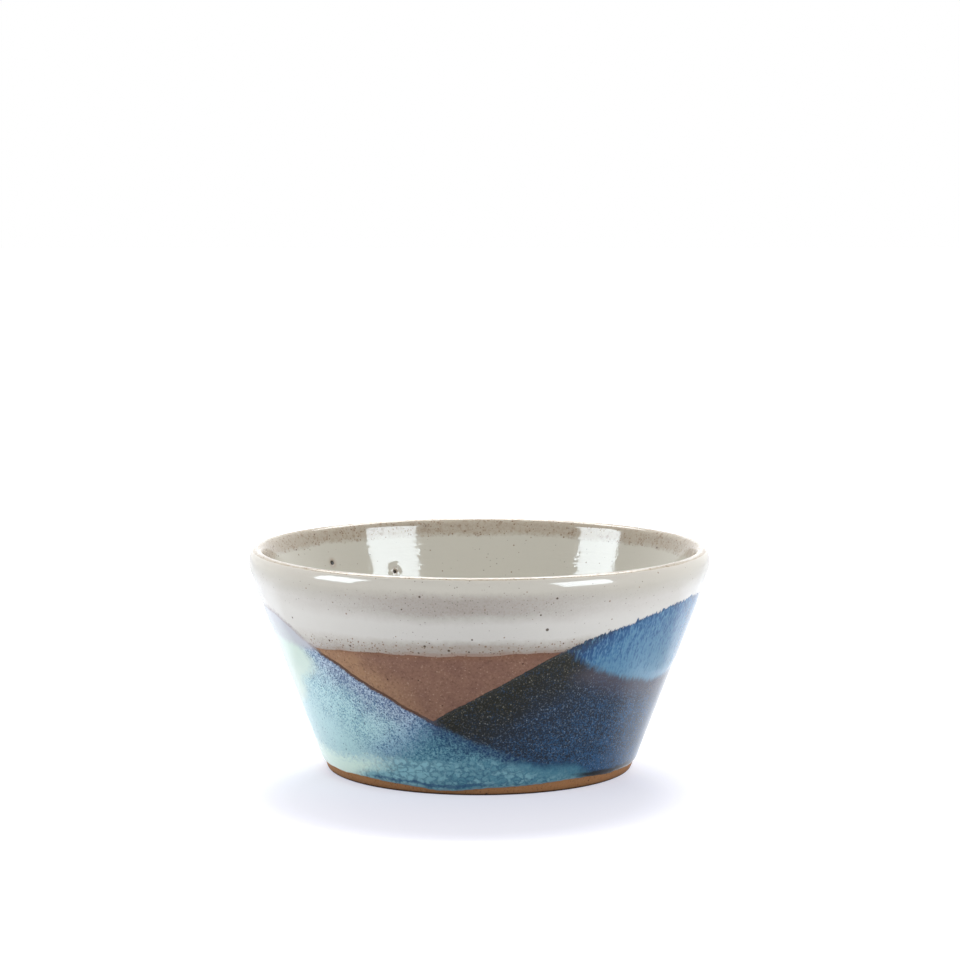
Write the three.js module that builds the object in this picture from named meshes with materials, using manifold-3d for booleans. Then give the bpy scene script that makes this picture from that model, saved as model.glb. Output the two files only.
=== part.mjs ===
// A wheel-thrown stoneware bowl: a straight flared wall on a trimmed foot, dipped in three glazes.
// Millimetres, +Z up. The origin is the centre of the foot, on the table. The front is -Y.
// Directions round the bowl are degrees from +X towards +Y.

import * as THREE from "three";
import { mergeVertices } from "three/addons/utils/BufferGeometryUtils.js";
import Module from "manifold-3d";

// The clay as thrown and trimmed
const RIM_DIAMETER = 148.8; // bare clay, across the widest part of the lip
const HEIGHT = 71.4; // bare clay, from the table to the top of the lip
const FOOT_DIAMETER = 98.8; // where the line of the wall meets the table
const LIP_THICKNESS = 4.6; // across the oval lip, measured level
const LIP_DEPTH = 4; // from the widest part of the lip up to its top
const WALL_AT_FLOOR = 6.4; // thickness of the wall at the floor, measured level
const FLOOR_THICKNESS = 5.2; // clay between the floor and the hollow of the foot
const FLOOR_CORNER_RADIUS = 15; // the bend from the wall into the floor
const FOOT_RING_WIDTH = 9; // the flat ring that stands on the table
const FOOT_HOLLOW = 2; // depth that is trimmed out inside the ring
const FOOT_CHAMFER = 0.8; // the softened outer edge of the foot

// The fired glaze
const COAT = 0.5; // thickness of one coat
const DOUBLE_COAT = 0.75; // thickness where two coats have melted together
const BOND_CLEARANCE = 0.1; // between the clay and the glass on it
const EDGE_CLEARANCE = 0.3; // between the edges of two neighbouring glazes
const FOOT_LINE = 3.8; // lower edge of the glaze above the table
const FOOT_RUN_LINE = 2.4; // the same where the two outside glazes have run together
const WHITE_LINE = 46.8; // lower edge of the white glaze, which is dipped level from the rim

// The two outside glazes are dipped at a slant from the foot. Each leaves a flat slanting line:
// its height on the axis of the bowl, its tilt, and the direction in which it rises.
const BLUE_DIP_HEIGHT = 30.5;
const BLUE_DIP_TILT_DEG = 28.6;
const BLUE_DIP_TOWARDS_DEG = 156;
const DARK_DIP_HEIGHT = 16;
const DARK_DIP_TILT_DEG = 30.5;
const DARK_DIP_TOWARDS_DEG = -29;

// Dark on white melts and runs down the wall, to a line that slants the other way.
const RUN_HEIGHT = 99.6;
const RUN_TILT_DEG = 46.7;
const RUN_TOWARDS_DEG = 156;

// Roundness
const TURN_STEPS = 72;
const LIP_STEPS = 5;
const CORNER_STEPS = 5;

const wasm = await Module();
wasm.setup();

// The outline of the clay, as half a section: x is the radius and y is the height.

const footEdge = new THREE.Vector2(FOOT_DIAMETER / 2, 0);
const lipHalf = LIP_THICKNESS / 2;
const lipCentre = new THREE.Vector2(RIM_DIAMETER / 2 - lipHalf, HEIGHT - LIP_DEPTH);
const floorHeight = FOOT_HOLLOW + FLOOR_THICKNESS;

// The angle round the oval lip at which a straight wall from the given point runs into it.
// Squeezing the oval into a circle keeps straight lines straight. Side is 1 outside and -1 inside.
function lipTouch(from, side) {
  const squeeze = lipHalf / LIP_DEPTH;
  const across = lipCentre.x - from.x;
  const up = (lipCentre.y - from.y) * squeeze;
  const lean = Math.asin(lipHalf / Math.hypot(across, up));
  return Math.atan2(up, across) - side * (lean + Math.PI / 2);
}

function lipArc(start, end) {
  return new THREE.EllipseCurve(lipCentre.x, lipCentre.y, lipHalf, LIP_DEPTH, start, end);
}

const crown = Math.PI / 2;
const lipOutside = lipArc(lipTouch(footEdge, 1), crown).getPoints(LIP_STEPS);
const wallTop = lipOutside[0];

function wallRadiusAt(height) {
  return THREE.MathUtils.mapLinear(height, footEdge.y, wallTop.y, footEdge.x, wallTop.x);
}

const floorCorner = new THREE.Vector2(wallRadiusAt(floorHeight) - WALL_AT_FLOOR, floorHeight);
const lipInside = lipArc(crown, lipTouch(floorCorner, -1)).getPoints(LIP_STEPS);
const innerWall = lipInside.at(-1).clone().sub(floorCorner);
const innerWallAngle = innerWall.angle();
const cornerReach = FLOOR_CORNER_RADIUS * Math.tan(innerWallAngle / 2);
const floorBend = new THREE.EllipseCurve(
  floorCorner.x - cornerReach,
  floorHeight + FLOOR_CORNER_RADIUS,
  FLOOR_CORNER_RADIUS,
  FLOOR_CORNER_RADIUS,
  innerWallAngle - Math.PI / 2,
  -Math.PI / 2,
  true,
).getPoints(CORNER_STEPS);

const ringInside = footEdge.x - FOOT_RING_WIDTH;
const underside = [
  new THREE.Vector2(0, FOOT_HOLLOW),
  new THREE.Vector2(ringInside - FOOT_HOLLOW, FOOT_HOLLOW),
  new THREE.Vector2(ringInside, 0),
  new THREE.Vector2(footEdge.x - FOOT_CHAMFER, 0),
];
const outside = [new THREE.Vector2(wallRadiusAt(FOOT_CHAMFER), FOOT_CHAMFER), ...lipOutside];
const inside = [...lipInside.slice(1), ...floorBend, new THREE.Vector2(0, floorHeight)];

// Turned solids, and cutting and joining them

function turn(outline) {
  const geometry = new THREE.LatheGeometry(outline, TURN_STEPS);
  geometry.rotateX(Math.PI / 2);
  return geometry;
}

function solid(geometry) {
  geometry.deleteAttribute("normal");
  geometry.deleteAttribute("uv");
  const merged = mergeVertices(geometry);
  const mesh = new wasm.Mesh({
    numProp: 3,
    vertProperties: merged.attributes.position.array,
    triVerts: Uint32Array.from(merged.index.array),
  });
  return new wasm.Manifold(mesh);
}

function geometryOf(manifold) {
  const mesh = manifold.getMesh();
  const geometry = new THREE.BufferGeometry();
  geometry.setAttribute("position", new THREE.BufferAttribute(mesh.vertProperties, 3));
  geometry.setIndex(new THREE.BufferAttribute(mesh.triVerts, 1));
  geometry.computeVertexNormals();
  return geometry;
}

// The same line moved away from the clay, with mitred corners.
function offset(line, distance) {
  const normals = line.slice(1).map((point, index) => {
    const along = point.clone().sub(line[index]).normalize();
    return new THREE.Vector2(along.y, -along.x);
  });
  return line.map((point, index) => {
    const before = normals[Math.max(index - 1, 0)];
    const after = normals[Math.min(index, normals.length - 1)];
    const mitre = before.clone().add(after).divideScalar(1 + before.dot(after));
    return point.clone().addScaledVector(mitre, distance);
  });
}

// A closed layer along a line on the outside of the bowl, between two distances from the clay.
function layer(line, nearSide, farSide) {
  const near = offset(line, nearSide).reverse();
  const far = offset(line, farSide);
  return solid(turn([...far, ...near, far[0]]));
}

// Everything under a flat glaze line, moved up by a clearance square to the line.
const reach = 4 * (RIM_DIAMETER + HEIGHT + RUN_HEIGHT);

function below(line, clearance) {
  const box = new THREE.BoxGeometry(reach, reach, reach);
  box.translate(0, 0, clearance - reach / 2);
  box.rotateY(-THREE.MathUtils.degToRad(line.tiltDeg));
  box.rotateZ(THREE.MathUtils.degToRad(line.towardsDeg));
  box.translate(0, 0, line.height);
  return solid(box);
}

function glazeLine(height, tiltDeg = 0, towardsDeg = 0) {
  return { height, tiltDeg, towardsDeg };
}

const footLine = glazeLine(FOOT_LINE);
const footRunLine = glazeLine(FOOT_RUN_LINE);
const whiteLine = glazeLine(WHITE_LINE);
const blueDip = glazeLine(BLUE_DIP_HEIGHT, BLUE_DIP_TILT_DEG, BLUE_DIP_TOWARDS_DEG);
const darkDip = glazeLine(DARK_DIP_HEIGHT, DARK_DIP_TILT_DEG, DARK_DIP_TOWARDS_DEG);
const runLine = glazeLine(RUN_HEIGHT, RUN_TILT_DEG, RUN_TOWARDS_DEG);

// Each glaze stops half an edge clearance short of its line, on its own side.
const halfEdge = EDGE_CLEARANCE / 2;
const under = (line) => below(line, -halfEdge);
const upTo = (line) => below(line, halfEdge);

const oneCoat = layer(outside, BOND_CLEARANCE, BOND_CLEARANCE + COAT);
const twoCoats = layer(outside, BOND_CLEARANCE, BOND_CLEARANCE + DOUBLE_COAT);
const oneCoatAboveFoot = oneCoat.subtract(upTo(footLine));

// The white glaze lines the bowl, goes over the lip and ends where the outside glazes begin.
function whiteGlaze() {
  const whole = [...outside, ...inside];
  const near = offset(whole, BOND_CLEARANCE).reverse();
  const far = offset(whole, BOND_CLEARANCE + COAT);
  const underTable = new THREE.Vector2(wallRadiusAt(-LIP_THICKNESS), -LIP_THICKNESS);
  const outsideRegion = layer([underTable, ...lipOutside], -lipHalf, LIP_THICKNESS);
  const otherGlazes = upTo(whiteLine).add(upTo(blueDip)).add(upTo(darkDip));
  return solid(turn([...near, ...far])).subtract(outsideRegion.intersect(otherGlazes));
}

function paleBlueGlaze() {
  return oneCoatAboveFoot.intersect(under(blueDip)).intersect(under(whiteLine)).subtract(upTo(darkDip));
}

function darkGlaze() {
  const belowMelt = under(runLine).intersect(under(whiteLine));
  return oneCoatAboveFoot.intersect(under(darkDip)).intersect(belowMelt).subtract(upTo(blueDip));
}

function darkOverWhite() {
  const aboveDark = upTo(runLine).intersect(upTo(whiteLine));
  return twoCoats.intersect(under(darkDip)).subtract(aboveDark).subtract(upTo(blueDip));
}

function blueOverWhite() {
  return twoCoats.intersect(under(blueDip)).subtract(upTo(whiteLine)).subtract(upTo(darkDip));
}

// The blue and dark dips cross at the front and again at the back. A plane through the axis parts
// the two melts where the blue line is lowest.
function blueOverDark(side) {
  const overlap = twoCoats.subtract(upTo(footRunLine)).intersect(under(blueDip)).intersect(under(darkDip));
  const half = new THREE.BoxGeometry(reach, reach, reach);
  half.translate(0, side * (reach + EDGE_CLEARANCE) / 2, 0);
  half.rotateZ(THREE.MathUtils.degToRad(BLUE_DIP_TOWARDS_DEG - 180));
  return overlap.intersect(solid(half));
}

// The bowl

const bowl = new THREE.Group();

function add(name, geometry, color, roughness) {
  const material = new THREE.MeshStandardMaterial({ color, roughness, metalness: 0 });
  const mesh = new THREE.Mesh(geometry, material);
  mesh.name = name;
  bowl.add(mesh);
}

add("clay_body", turn([...underside, ...outside, ...inside]), "#7e6054", 0.8);
add("white_glaze", geometryOf(whiteGlaze()), "#bcb8ae", 0.2);
add("pale_blue_glaze", geometryOf(paleBlueGlaze()), "#93b0bd", 0.2);
add("dark_glaze", geometryOf(darkGlaze()), "#35393d", 0.15);
add("dark_over_white_melt", geometryOf(darkOverWhite()), "#5981a0", 0.15);
add("blue_over_white_melt", geometryOf(blueOverWhite()), "#c8c8cd", 0.2);
add("blue_over_dark_melt_front", geometryOf(blueOverDark(-1)), "#547b90", 0.15);
add("blue_over_dark_melt_back", geometryOf(blueOverDark(1)), "#547b90", 0.15);

export default bowl;
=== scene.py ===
"""Looks of a wheel-thrown stoneware bowl: trimmed clay under three overlapping dips of glaze."""

import math
from types import SimpleNamespace

import bpy
import numpy as np
from bpy.props import FloatProperty, FloatVectorProperty, IntProperty, PointerProperty
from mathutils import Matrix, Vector, noise


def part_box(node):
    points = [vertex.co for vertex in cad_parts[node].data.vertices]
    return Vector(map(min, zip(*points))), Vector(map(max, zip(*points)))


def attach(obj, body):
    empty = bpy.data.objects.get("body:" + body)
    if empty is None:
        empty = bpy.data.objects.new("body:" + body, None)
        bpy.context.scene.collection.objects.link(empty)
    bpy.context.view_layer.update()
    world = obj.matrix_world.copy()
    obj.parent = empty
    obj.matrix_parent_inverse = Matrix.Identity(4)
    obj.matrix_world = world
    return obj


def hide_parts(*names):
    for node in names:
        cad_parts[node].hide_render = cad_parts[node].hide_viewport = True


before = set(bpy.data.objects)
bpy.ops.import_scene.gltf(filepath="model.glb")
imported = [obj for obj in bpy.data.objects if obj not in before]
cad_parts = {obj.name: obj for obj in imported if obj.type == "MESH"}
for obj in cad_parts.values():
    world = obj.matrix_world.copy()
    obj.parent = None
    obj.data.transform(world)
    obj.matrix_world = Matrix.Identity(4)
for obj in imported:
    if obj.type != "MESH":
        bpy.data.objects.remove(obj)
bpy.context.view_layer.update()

bl_info = {
    "name": "Dipped Stoneware Bowl",
    "version": (1, 0, 0),
    "blender": (4, 5, 0),
    "location": "View3D > Sidebar > Bowl",
    "description": "Throws a stoneware bowl, dips it in three glazes and sets it in a studio",
    "category": "Add Mesh",
}

MM = 0.001
SECTORS = 12
CLAY_LOW, CLAY_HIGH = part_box("clay_body")
SPIN_SEAM = 0.002 * MM
CUT_SEAM = 0.01 * MM
SMOOTH_ANGLE = math.radians(50)
SENSOR_WIDTH = 36


# Settings


def length(name, description, millimetres):
    return FloatProperty(
        name=name, description=description, default=millimetres * MM, unit="LENGTH", precision=5
    )


def angle(name, description, degrees):
    return FloatProperty(
        name=name, description=description, default=math.radians(degrees), subtype="ANGLE"
    )


def share(name, description, value):
    return FloatProperty(
        name=name, description=description, default=value, subtype="FACTOR", min=0, max=1
    )


def amount(name, description, value):
    return FloatProperty(name=name, description=description, default=value, min=0)


def count(name, description, value):
    return IntProperty(name=name, description=description, default=value, min=3)


def colour(name, description, red, green, blue):
    return FloatVectorProperty(
        name=name,
        description=description,
        default=(red / 255, green / 255, blue / 255),
        subtype="COLOR_GAMMA",
        min=0,
        max=1,
    )


class BowlForm(bpy.types.PropertyGroup):
    """Sizes of the thrown and trimmed clay"""

    rim_diameter: length("Rim", "Across the lip, bare clay", (CLAY_HIGH.x - CLAY_LOW.x) / MM)
    height: length("Height", "From the table to the top of the lip, bare clay", CLAY_HIGH.z / MM)
    foot_diameter: length("Foot", "Where the line of the wall meets the table", 98.8)
    lip_thickness: length("Lip thickness", "Across the oval lip, measured level", 4.6)
    lip_depth: length("Lip depth", "From the widest part of the lip up to its top", 4)
    wall_at_floor: length("Wall at the floor", "Thickness of the wall, measured level", 6.4)
    floor_thickness: length("Floor thickness", "Clay between the floor and the foot's hollow", 5.2)
    floor_corner: length("Floor corner", "Radius of the bend from the wall into the floor", 15)
    foot_ring: length("Foot ring", "Width of the flat ring that stands on the table", 9)
    foot_hollow: length("Foot hollow", "Depth trimmed out inside the foot ring", 2)
    foot_rounding: length("Foot rounding", "Size of the softened outer edge of the foot", 0.8)
    trim_ring_pitch: length("Trimming rings", "Distance between the tool rings under the foot", 1.9)
    trim_ring_depth: length("Trimming depth", "Height of the tool rings under the foot", 0.09)
    clay_turns: count("Clay turns", "Steps round the clay", 360)
    white_turns: count("White turns", "Steps round the white glaze", 384)
    wall_turns: count("Wall turns", "Steps round the other glazes", 720)
    wall_step: length("Wall step", "Size of a face up the wall", 0.55)


class GlazeLines(bpy.types.PropertyGroup):
    """Where each glaze ends on the wall, and how thick it lies"""

    bond: length("Bond", "From the clay to the underside of the glaze", 0.03)
    coat: length("Coat", "Thickness of one coat", 0.5)
    second_coat: length("Second coat", "Thickness that a second coat adds", 0.24)
    edge_roll: length("Edge roll", "Width over which the glaze rolls over at the foot", 1.3)
    feather: length("Feather", "Width over which a coat thins out along its line", 2.4)
    melt_width: length("Melt width", "Width over which one coat melts into two", 3.5)
    foot_line: length("Foot line", "Lower edge of the glaze above the table", 3.8)
    white_line: length("White line", "Lower edge of the white glaze", 46.8)
    blue_height: length("Blue height", "Height of the blue line on the bowl's axis", 30.5)
    blue_tilt: angle("Blue tilt", "Slope of the blue line", 28.6)
    blue_towards: angle("Blue direction", "Direction in which the blue line rises", 156)
    dark_height: length("Dark height", "Height of the dark line on the bowl's axis", 16)
    dark_tilt: angle("Dark tilt", "Slope of the dark line", 30.5)
    dark_towards: angle("Dark direction", "Direction in which the dark line rises", -29)
    run_height: length("Run height", "Height of the melt's lower line on the bowl's axis", 99.6)
    run_tilt: angle("Run tilt", "Slope of the melt's lower line", 46.7)
    run_towards: angle("Run direction", "Direction in which the melt's lower line rises", 156)
    waver: length("Waver", "How far the glaze edges wander from their lines", 0.38)
    sag: length("Sag", "How far the glaze has crept down at the foot", 0.7)
    dark_climb: length("Dark climb", "How far the dark line has crept up at the right", 3.6)
    blue_hold: length("Blue hold", "How far the pale blue has thinned out on the white at the left", 10)
    waver_size: length("Waver size", "Length of one wave along a glaze edge", 8)


class ClayColours(bpy.types.PropertyGroup):
    """Colours of the bare stoneware"""

    body: colour("Body", "Bare clay above the glaze", 128, 97, 83)
    shade: colour("Shade", "Darker clay in the mottling", 118, 88, 77)
    flash: colour("Flash", "Orange blush beside the blue glaze", 158, 124, 96)
    foot: colour("Foot", "Bare clay of the foot", 170, 122, 82)
    fringe: colour("Fringe", "Iron stain along the white line", 120, 86, 68)
    grog: colour("Grog", "Pale grains in the clay", 176, 148, 128)
    iron: colour("Iron", "Dark grains in the clay", 58, 40, 34)
    # Painted shade: the dark edge round the bottom of the foot stands in for the shadow in the gap under
    # its rounding
    contact_shade: colour("Sole", "Stained edge where the foot meets the table", 44, 30, 24)


class WhiteColours(bpy.types.PropertyGroup):
    """Colours of the white glaze"""

    thick: colour("Thick", "Where the coat is thickest", 193, 192, 189)
    thin: colour("Thin", "Where the coat is thin", 158, 153, 148)
    even: colour("Even", "Where the coat lies evenly at the sides", 204, 203, 200)
    lip: colour("Lip", "On the outside of the lip", 182, 179, 171)
    # Lighter than the lip beside it: the glaze's own colour, partly lightened as a painted highlight
    # along the crown
    crown: colour("Crown", "On the crown of the lip", 194, 189, 180)
    inner_band: colour("Inner band", "Just inside the lip", 172, 162, 146)
    inside: colour("Inside", "On the inner wall", 191, 188, 177)
    low: colour("Low", "Speckled zone above the white line", 159, 152, 145)
    fringe: colour("Fringe", "Along the white line", 148, 126, 115)
    speck: colour("Speck", "Iron specks", 70, 54, 45)
    rust: colour("Rust", "Rusty specks where the coat is thin", 114, 84, 58)
    # Painted shade: the bottom of each pinhole is painted near black, darker than the clay it opens onto
    pit_shade: colour("Pit", "Bottom of the pinholes", 26, 19, 16)
    halo: colour("Halo", "Stain round the pinholes", 150, 116, 94)


class BlueColours(bpy.types.PropertyGroup):
    """Colours of the pale blue glaze"""

    edge: colour("Edge", "Thin brown line along the edge", 84, 56, 42)
    near_dark: colour("Near dark", "Dark grains near the edge", 76, 96, 132)
    near_light: colour("Near light", "Light grains near the edge", 170, 190, 210)
    cross_dark: colour("Cross dark", "Dark grains near the dark glaze", 48, 80, 124)
    cross_light: colour("Cross light", "Light grains near the dark glaze", 126, 164, 196)
    far_dark: colour("Far dark", "Dark grains away from the edge", 100, 142, 168)
    far_light: colour("Far light", "Light grains away from the edge", 174, 212, 218)
    speck: colour("Speck", "Deep blue specks", 46, 64, 102)
    mint: colour("Mint", "Where the glaze has pooled thick", 197, 216, 207)
    mint_low: colour("Low mint", "Where the glaze has pooled at the foot", 220, 243, 233)
    on_white: colour("On white", "Where the blue lies over the white", 178, 181, 191)
    stain: colour("Stain", "Brown line where the blue ends on the white", 132, 112, 104)


class DarkColours(bpy.types.PropertyGroup):
    """Colours of the dark glaze and of what it melts into"""

    olive: colour("Olive", "Near the edge", 33, 34, 30)
    navy: colour("Navy", "Away from the edge", 33, 41, 54)
    blue: colour("Blue", "Blue bloom low on the wall", 46, 88, 130)
    gold_speck: colour("Gold speck", "Specks near the edge", 124, 121, 106)
    pale_speck: colour("Pale speck", "Specks away from the edge", 124, 143, 165)
    smoke: colour("Smoke", "Grey bloom under the melt", 84, 80, 92)
    melt_edge: colour("Melt edge", "Upper edge of the melt on white", 40, 54, 74)
    melt_deep: colour("Melt deep", "Deep streaks of the melt", 38, 76, 122)
    melt: colour("Melt", "The melt on white", 63, 109, 148)
    melt_pale: colour("Melt pale", "Pale streaks and lower edge of the melt", 98, 142, 170)
    teal_deep: colour("Teal deep", "Blue over dark, near the edges", 22, 52, 92)
    teal: colour("Teal", "Blue over dark", 66, 122, 146)
    teal_pale: colour("Teal pale", "Clouds in the teal", 136, 186, 200)
    teal_crack: colour("Teal crack", "Lines between the crackled cells", 28, 72, 106)
    rim: colour("Rim", "Dark glaze where it ends at the foot", 30, 25, 24)
    teal_line: colour("Teal line", "Dark line above the foot", 34, 70, 112)
    bead: colour("Bead", "Pale bead at the foot", 132, 168, 184)


class StudioSettings(bpy.types.PropertyGroup):
    """Camera, floor and light"""

    lens: FloatProperty(name="Lens", description="Focal length", default=120.3, unit="CAMERA")
    camera_height: length("Camera height", "Above the table", 211.54)
    camera_distance: length("Camera distance", "In front of the bowl's axis", 1032.75)
    camera_aside: length("Camera aside", "To the right of the bowl's axis", 0.217)
    camera_pitch: angle("Camera pitch", "Downward tilt", 6.52)
    floor_size: length("Floor size", "Side of the floor", 8000)
    floor_colour: colour("Floor colour", "Pale studio floor", 176, 175, 174)
    floor_bounce: colour("Floor bounce", "Floor as it throws light back up at the bowl", 230, 230, 231)
    floor_lift: colour("Floor lift", "Glow that the floor adds for the camera", 181, 182, 194)
    shadow_lift: amount("Shadow lift", "Glow for the camera where the shadow ends", 0.24)
    far_lift: amount("Far lift", "Glow for the camera far from the bowl", 0.5)
    shadow_aside: length("Shadow aside", "Middle of the shadow, left of the bowl's axis", 4)
    shadow_ahead: length("Shadow ahead", "Middle of the shadow, in front of the bowl's axis", 48)
    side_bounce: amount("Side bounce", "Light that the floor adds from both sides of the bowl", 1.35)
    sweep_gleam: amount("Sweep gleam", "Brightness that the floor behind adds in reflections", 0.8)
    sweep_tint: colour("Sweep tint", "Cool tint of the floor behind in reflections", 236, 243, 255)
    sky_gleam: amount("Sky gleam", "Brightness of the surroundings behind the bowl in reflections", 1.4)
    sky_front: amount("Sky in front", "Brightness of the surroundings behind the camera", 0.4)
    sky_back: amount("Sky behind", "Brightness of the surroundings behind the bowl", 0.95)
    box_distance: length("Lamp distance", "From the bowl to each soft lamp", 1300)
    box_width: length("Lamp width", "Width of each soft lamp", 780)
    box_height: length("Lamp height", "Height of each soft lamp", 1000)
    box_lift: angle("Lamp height angle", "Height of the soft lamps above the table", 34)
    right_box: angle("Right lamp", "Direction of the right lamp from the camera", 56)
    left_box: angle("Left lamp", "Direction of the left lamp from the camera", -78)
    box_turn: share("Lamp turn", "Turn of each soft lamp, as a part of its mirror image's turn", 0.7)
    right_power: amount("Right lamp power", "Light that the right lamp sheds, in watts", 4.9)
    left_power: amount("Left lamp power", "Light that the left lamp sheds, in watts", 3.3)
    gleam_distance: length("Gleam distance", "From the bowl to each lamp's mirror image", 4000)
    gleam_lift: angle("Gleam height angle", "Height of each mirror image above the table", 28)
    right_gleam: length("Right gleam", "Width of the right lamp's mirror image", 1930)
    left_gleam: length("Left gleam", "Width of the left lamp's mirror image", 1640)
    gleam_height: length("Gleam height", "Height of each mirror image", 1850)
    gleam_power: amount("Gleam power", "Light of each mirror image, in watts", 147)
    gleam_tint: colour("Gleam tint", "Cool tint of the mirror images", 235, 247, 255)
    top_distance: length("Top lamp distance", "From the bowl to the lamp above it", 1400)
    top_lift: angle("Top lamp height angle", "Height of the top lamp, which stands behind the bowl", 58)
    top_width: length("Top lamp width", "Width of the top lamp", 1300)
    top_depth: length("Top lamp depth", "Depth of the top lamp", 500)
    top_power: amount("Top lamp power", "Light that the top lamp sheds, in watts", 15)
    top_gleam: amount("Top lamp gleam", "Light of the top lamp's mirror image, in watts", 18)


# The section of the clay, as points of radius and height

# Mean radius of the lip as a share of its depth
LIP_REACH = 0.8
# Places of points: on the slope of the hollow, on the flat of the foot ring and on its rounding
HOLLOW_SLOPE_PARTS = (0.33, 0.67, 0.9)
FOOT_FLAT_PARTS = (0.5, 1)
ROUNDING_PARTS = (0.25, 0.5, 0.75)
# How far the end of that slope is rounded off
HOLLOW_SLOPE_END = 0.3 * MM


class Section:
    """Half a section through the clay, worked out from the settings."""

    def __init__(self, form):
        self.form = form
        self.foot_edge = Vector((form.foot_diameter / 2, 0))
        self.lip_half = form.lip_thickness / 2
        self.lip_centre = Vector((form.rim_diameter / 2 - self.lip_half, form.height - form.lip_depth))
        self.outside_touch = self.lip_touch(self.foot_edge, 1)
        self.wall_top = self.lip_point(self.outside_touch)
        self.slope = (self.wall_top.x - self.foot_edge.x) / self.wall_top.y
        self.floor_height = form.foot_hollow + form.floor_thickness
        corner_radius = self.wall_radius(self.floor_height) - form.wall_at_floor
        self.floor_corner = Vector((corner_radius, self.floor_height))
        self.inside_touch = self.lip_touch(self.floor_corner, -1)

    def lip_touch(self, start, side):
        """Angle round the oval lip at which a straight wall from start runs into it."""
        squeeze = self.lip_half / self.form.lip_depth
        across = self.lip_centre.x - start.x
        up = (self.lip_centre.y - start.y) * squeeze
        lean = math.asin(self.lip_half / math.hypot(across, up))
        return math.atan2(up, across) - side * (lean + math.pi / 2)

    def lip_point(self, turn):
        reach = Vector((self.lip_half * math.cos(turn), self.form.lip_depth * math.sin(turn)))
        return self.lip_centre + reach

    def wall_radius(self, height):
        return self.foot_edge.x + self.slope * height

    def wall(self, low, step):
        """The outer wall from a low height up to the lip."""
        rows = max(2, round((self.wall_top.y - low) * math.hypot(1, self.slope) / step))
        heights = np.linspace(low, self.wall_top.y, rows + 1)
        return [Vector((self.wall_radius(height), height)) for height in heights]

    def lip(self, start, end, step):
        """Part of the oval lip, without its first point."""
        rows = max(3, round(abs(end - start) * self.form.lip_depth * LIP_REACH / step))
        return [self.lip_point(turn) for turn in np.linspace(start, end, rows + 1)[1:]]

    def inside(self, step):
        """From the lip down the inner wall, round the bend and over the floor to the axis."""
        form = self.form
        top = self.lip_point(self.inside_touch)
        lean = math.atan2(top.y - self.floor_corner.y, top.x - self.floor_corner.x)
        bend_centre = Vector((
            self.floor_corner.x - form.floor_corner * math.tan(lean / 2),
            self.floor_height + form.floor_corner,
        ))
        bend_turns = np.linspace(lean - math.pi / 2, -math.pi / 2, round(form.floor_corner / step) + 2)
        bend = [
            bend_centre + form.floor_corner * Vector((math.cos(turn), math.sin(turn)))
            for turn in bend_turns
        ]
        rows = round((top - bend[0]).length / step)
        wall = [top.lerp(bend[0], row / rows) for row in range(1, rows)]
        floor_rows = round(bend[-1].x / step)
        floor = [
            Vector((bend[-1].x * (1 - row / floor_rows), self.floor_height))
            for row in range(1, floor_rows + 1)
        ]
        return wall + bend + floor

    def underside(self, step):
        """From the axis over the trimmed hollow and the foot ring to the start of the wall."""
        form = self.form
        ring_inside = self.foot_edge.x - form.foot_ring
        hollow_edge = ring_inside - form.foot_hollow
        rows = round(hollow_edge / step)
        points = []
        for row in range(rows + 1):
            radius = hollow_edge * row / rows
            ring = math.cos(2 * math.pi * radius / form.trim_ring_pitch)
            points.append(Vector((radius, form.foot_hollow - form.trim_ring_depth * (0.5 + 0.5 * ring))))
        slope_end = Vector((ring_inside, 0))
        points += [points[-1].lerp(slope_end, part) for part in HOLLOW_SLOPE_PARTS]
        points.append(Vector((ring_inside + HOLLOW_SLOPE_END, 0)))
        flat_end = Vector((self.foot_edge.x - form.foot_rounding, 0))
        points += [points[-1].lerp(flat_end, part) for part in FOOT_FLAT_PARTS]
        wall_start = Vector((self.wall_radius(form.foot_rounding), form.foot_rounding))
        for part in ROUNDING_PARTS:
            before = flat_end.lerp(self.foot_edge, part)
            after = self.foot_edge.lerp(wall_start, part)
            points.append(before.lerp(after, part))
        return points


def set_off(outline, distance):
    """The same outline moved out from the clay by a distance, with mitred corners."""
    sides = []
    for start, end in zip(outline, outline[1:]):
        along = (end - start).normalized()
        sides.append(Vector((along.y, -along.x)))
    moved = []
    for index, point in enumerate(outline):
        before = sides[max(index - 1, 0)]
        after = sides[min(index, len(sides) - 1)]
        moved.append(point + (before + after) * distance / (1 + before.dot(after)))
    return moved


# Modelling


def clear_selection():
    if bpy.context.mode != "OBJECT":
        bpy.ops.object.mode_set(mode="OBJECT")
    bpy.ops.object.select_all(action="DESELECT")


def choose(piece):
    clear_selection()
    piece.select_set(True)
    bpy.context.view_layer.objects.active = piece


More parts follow.
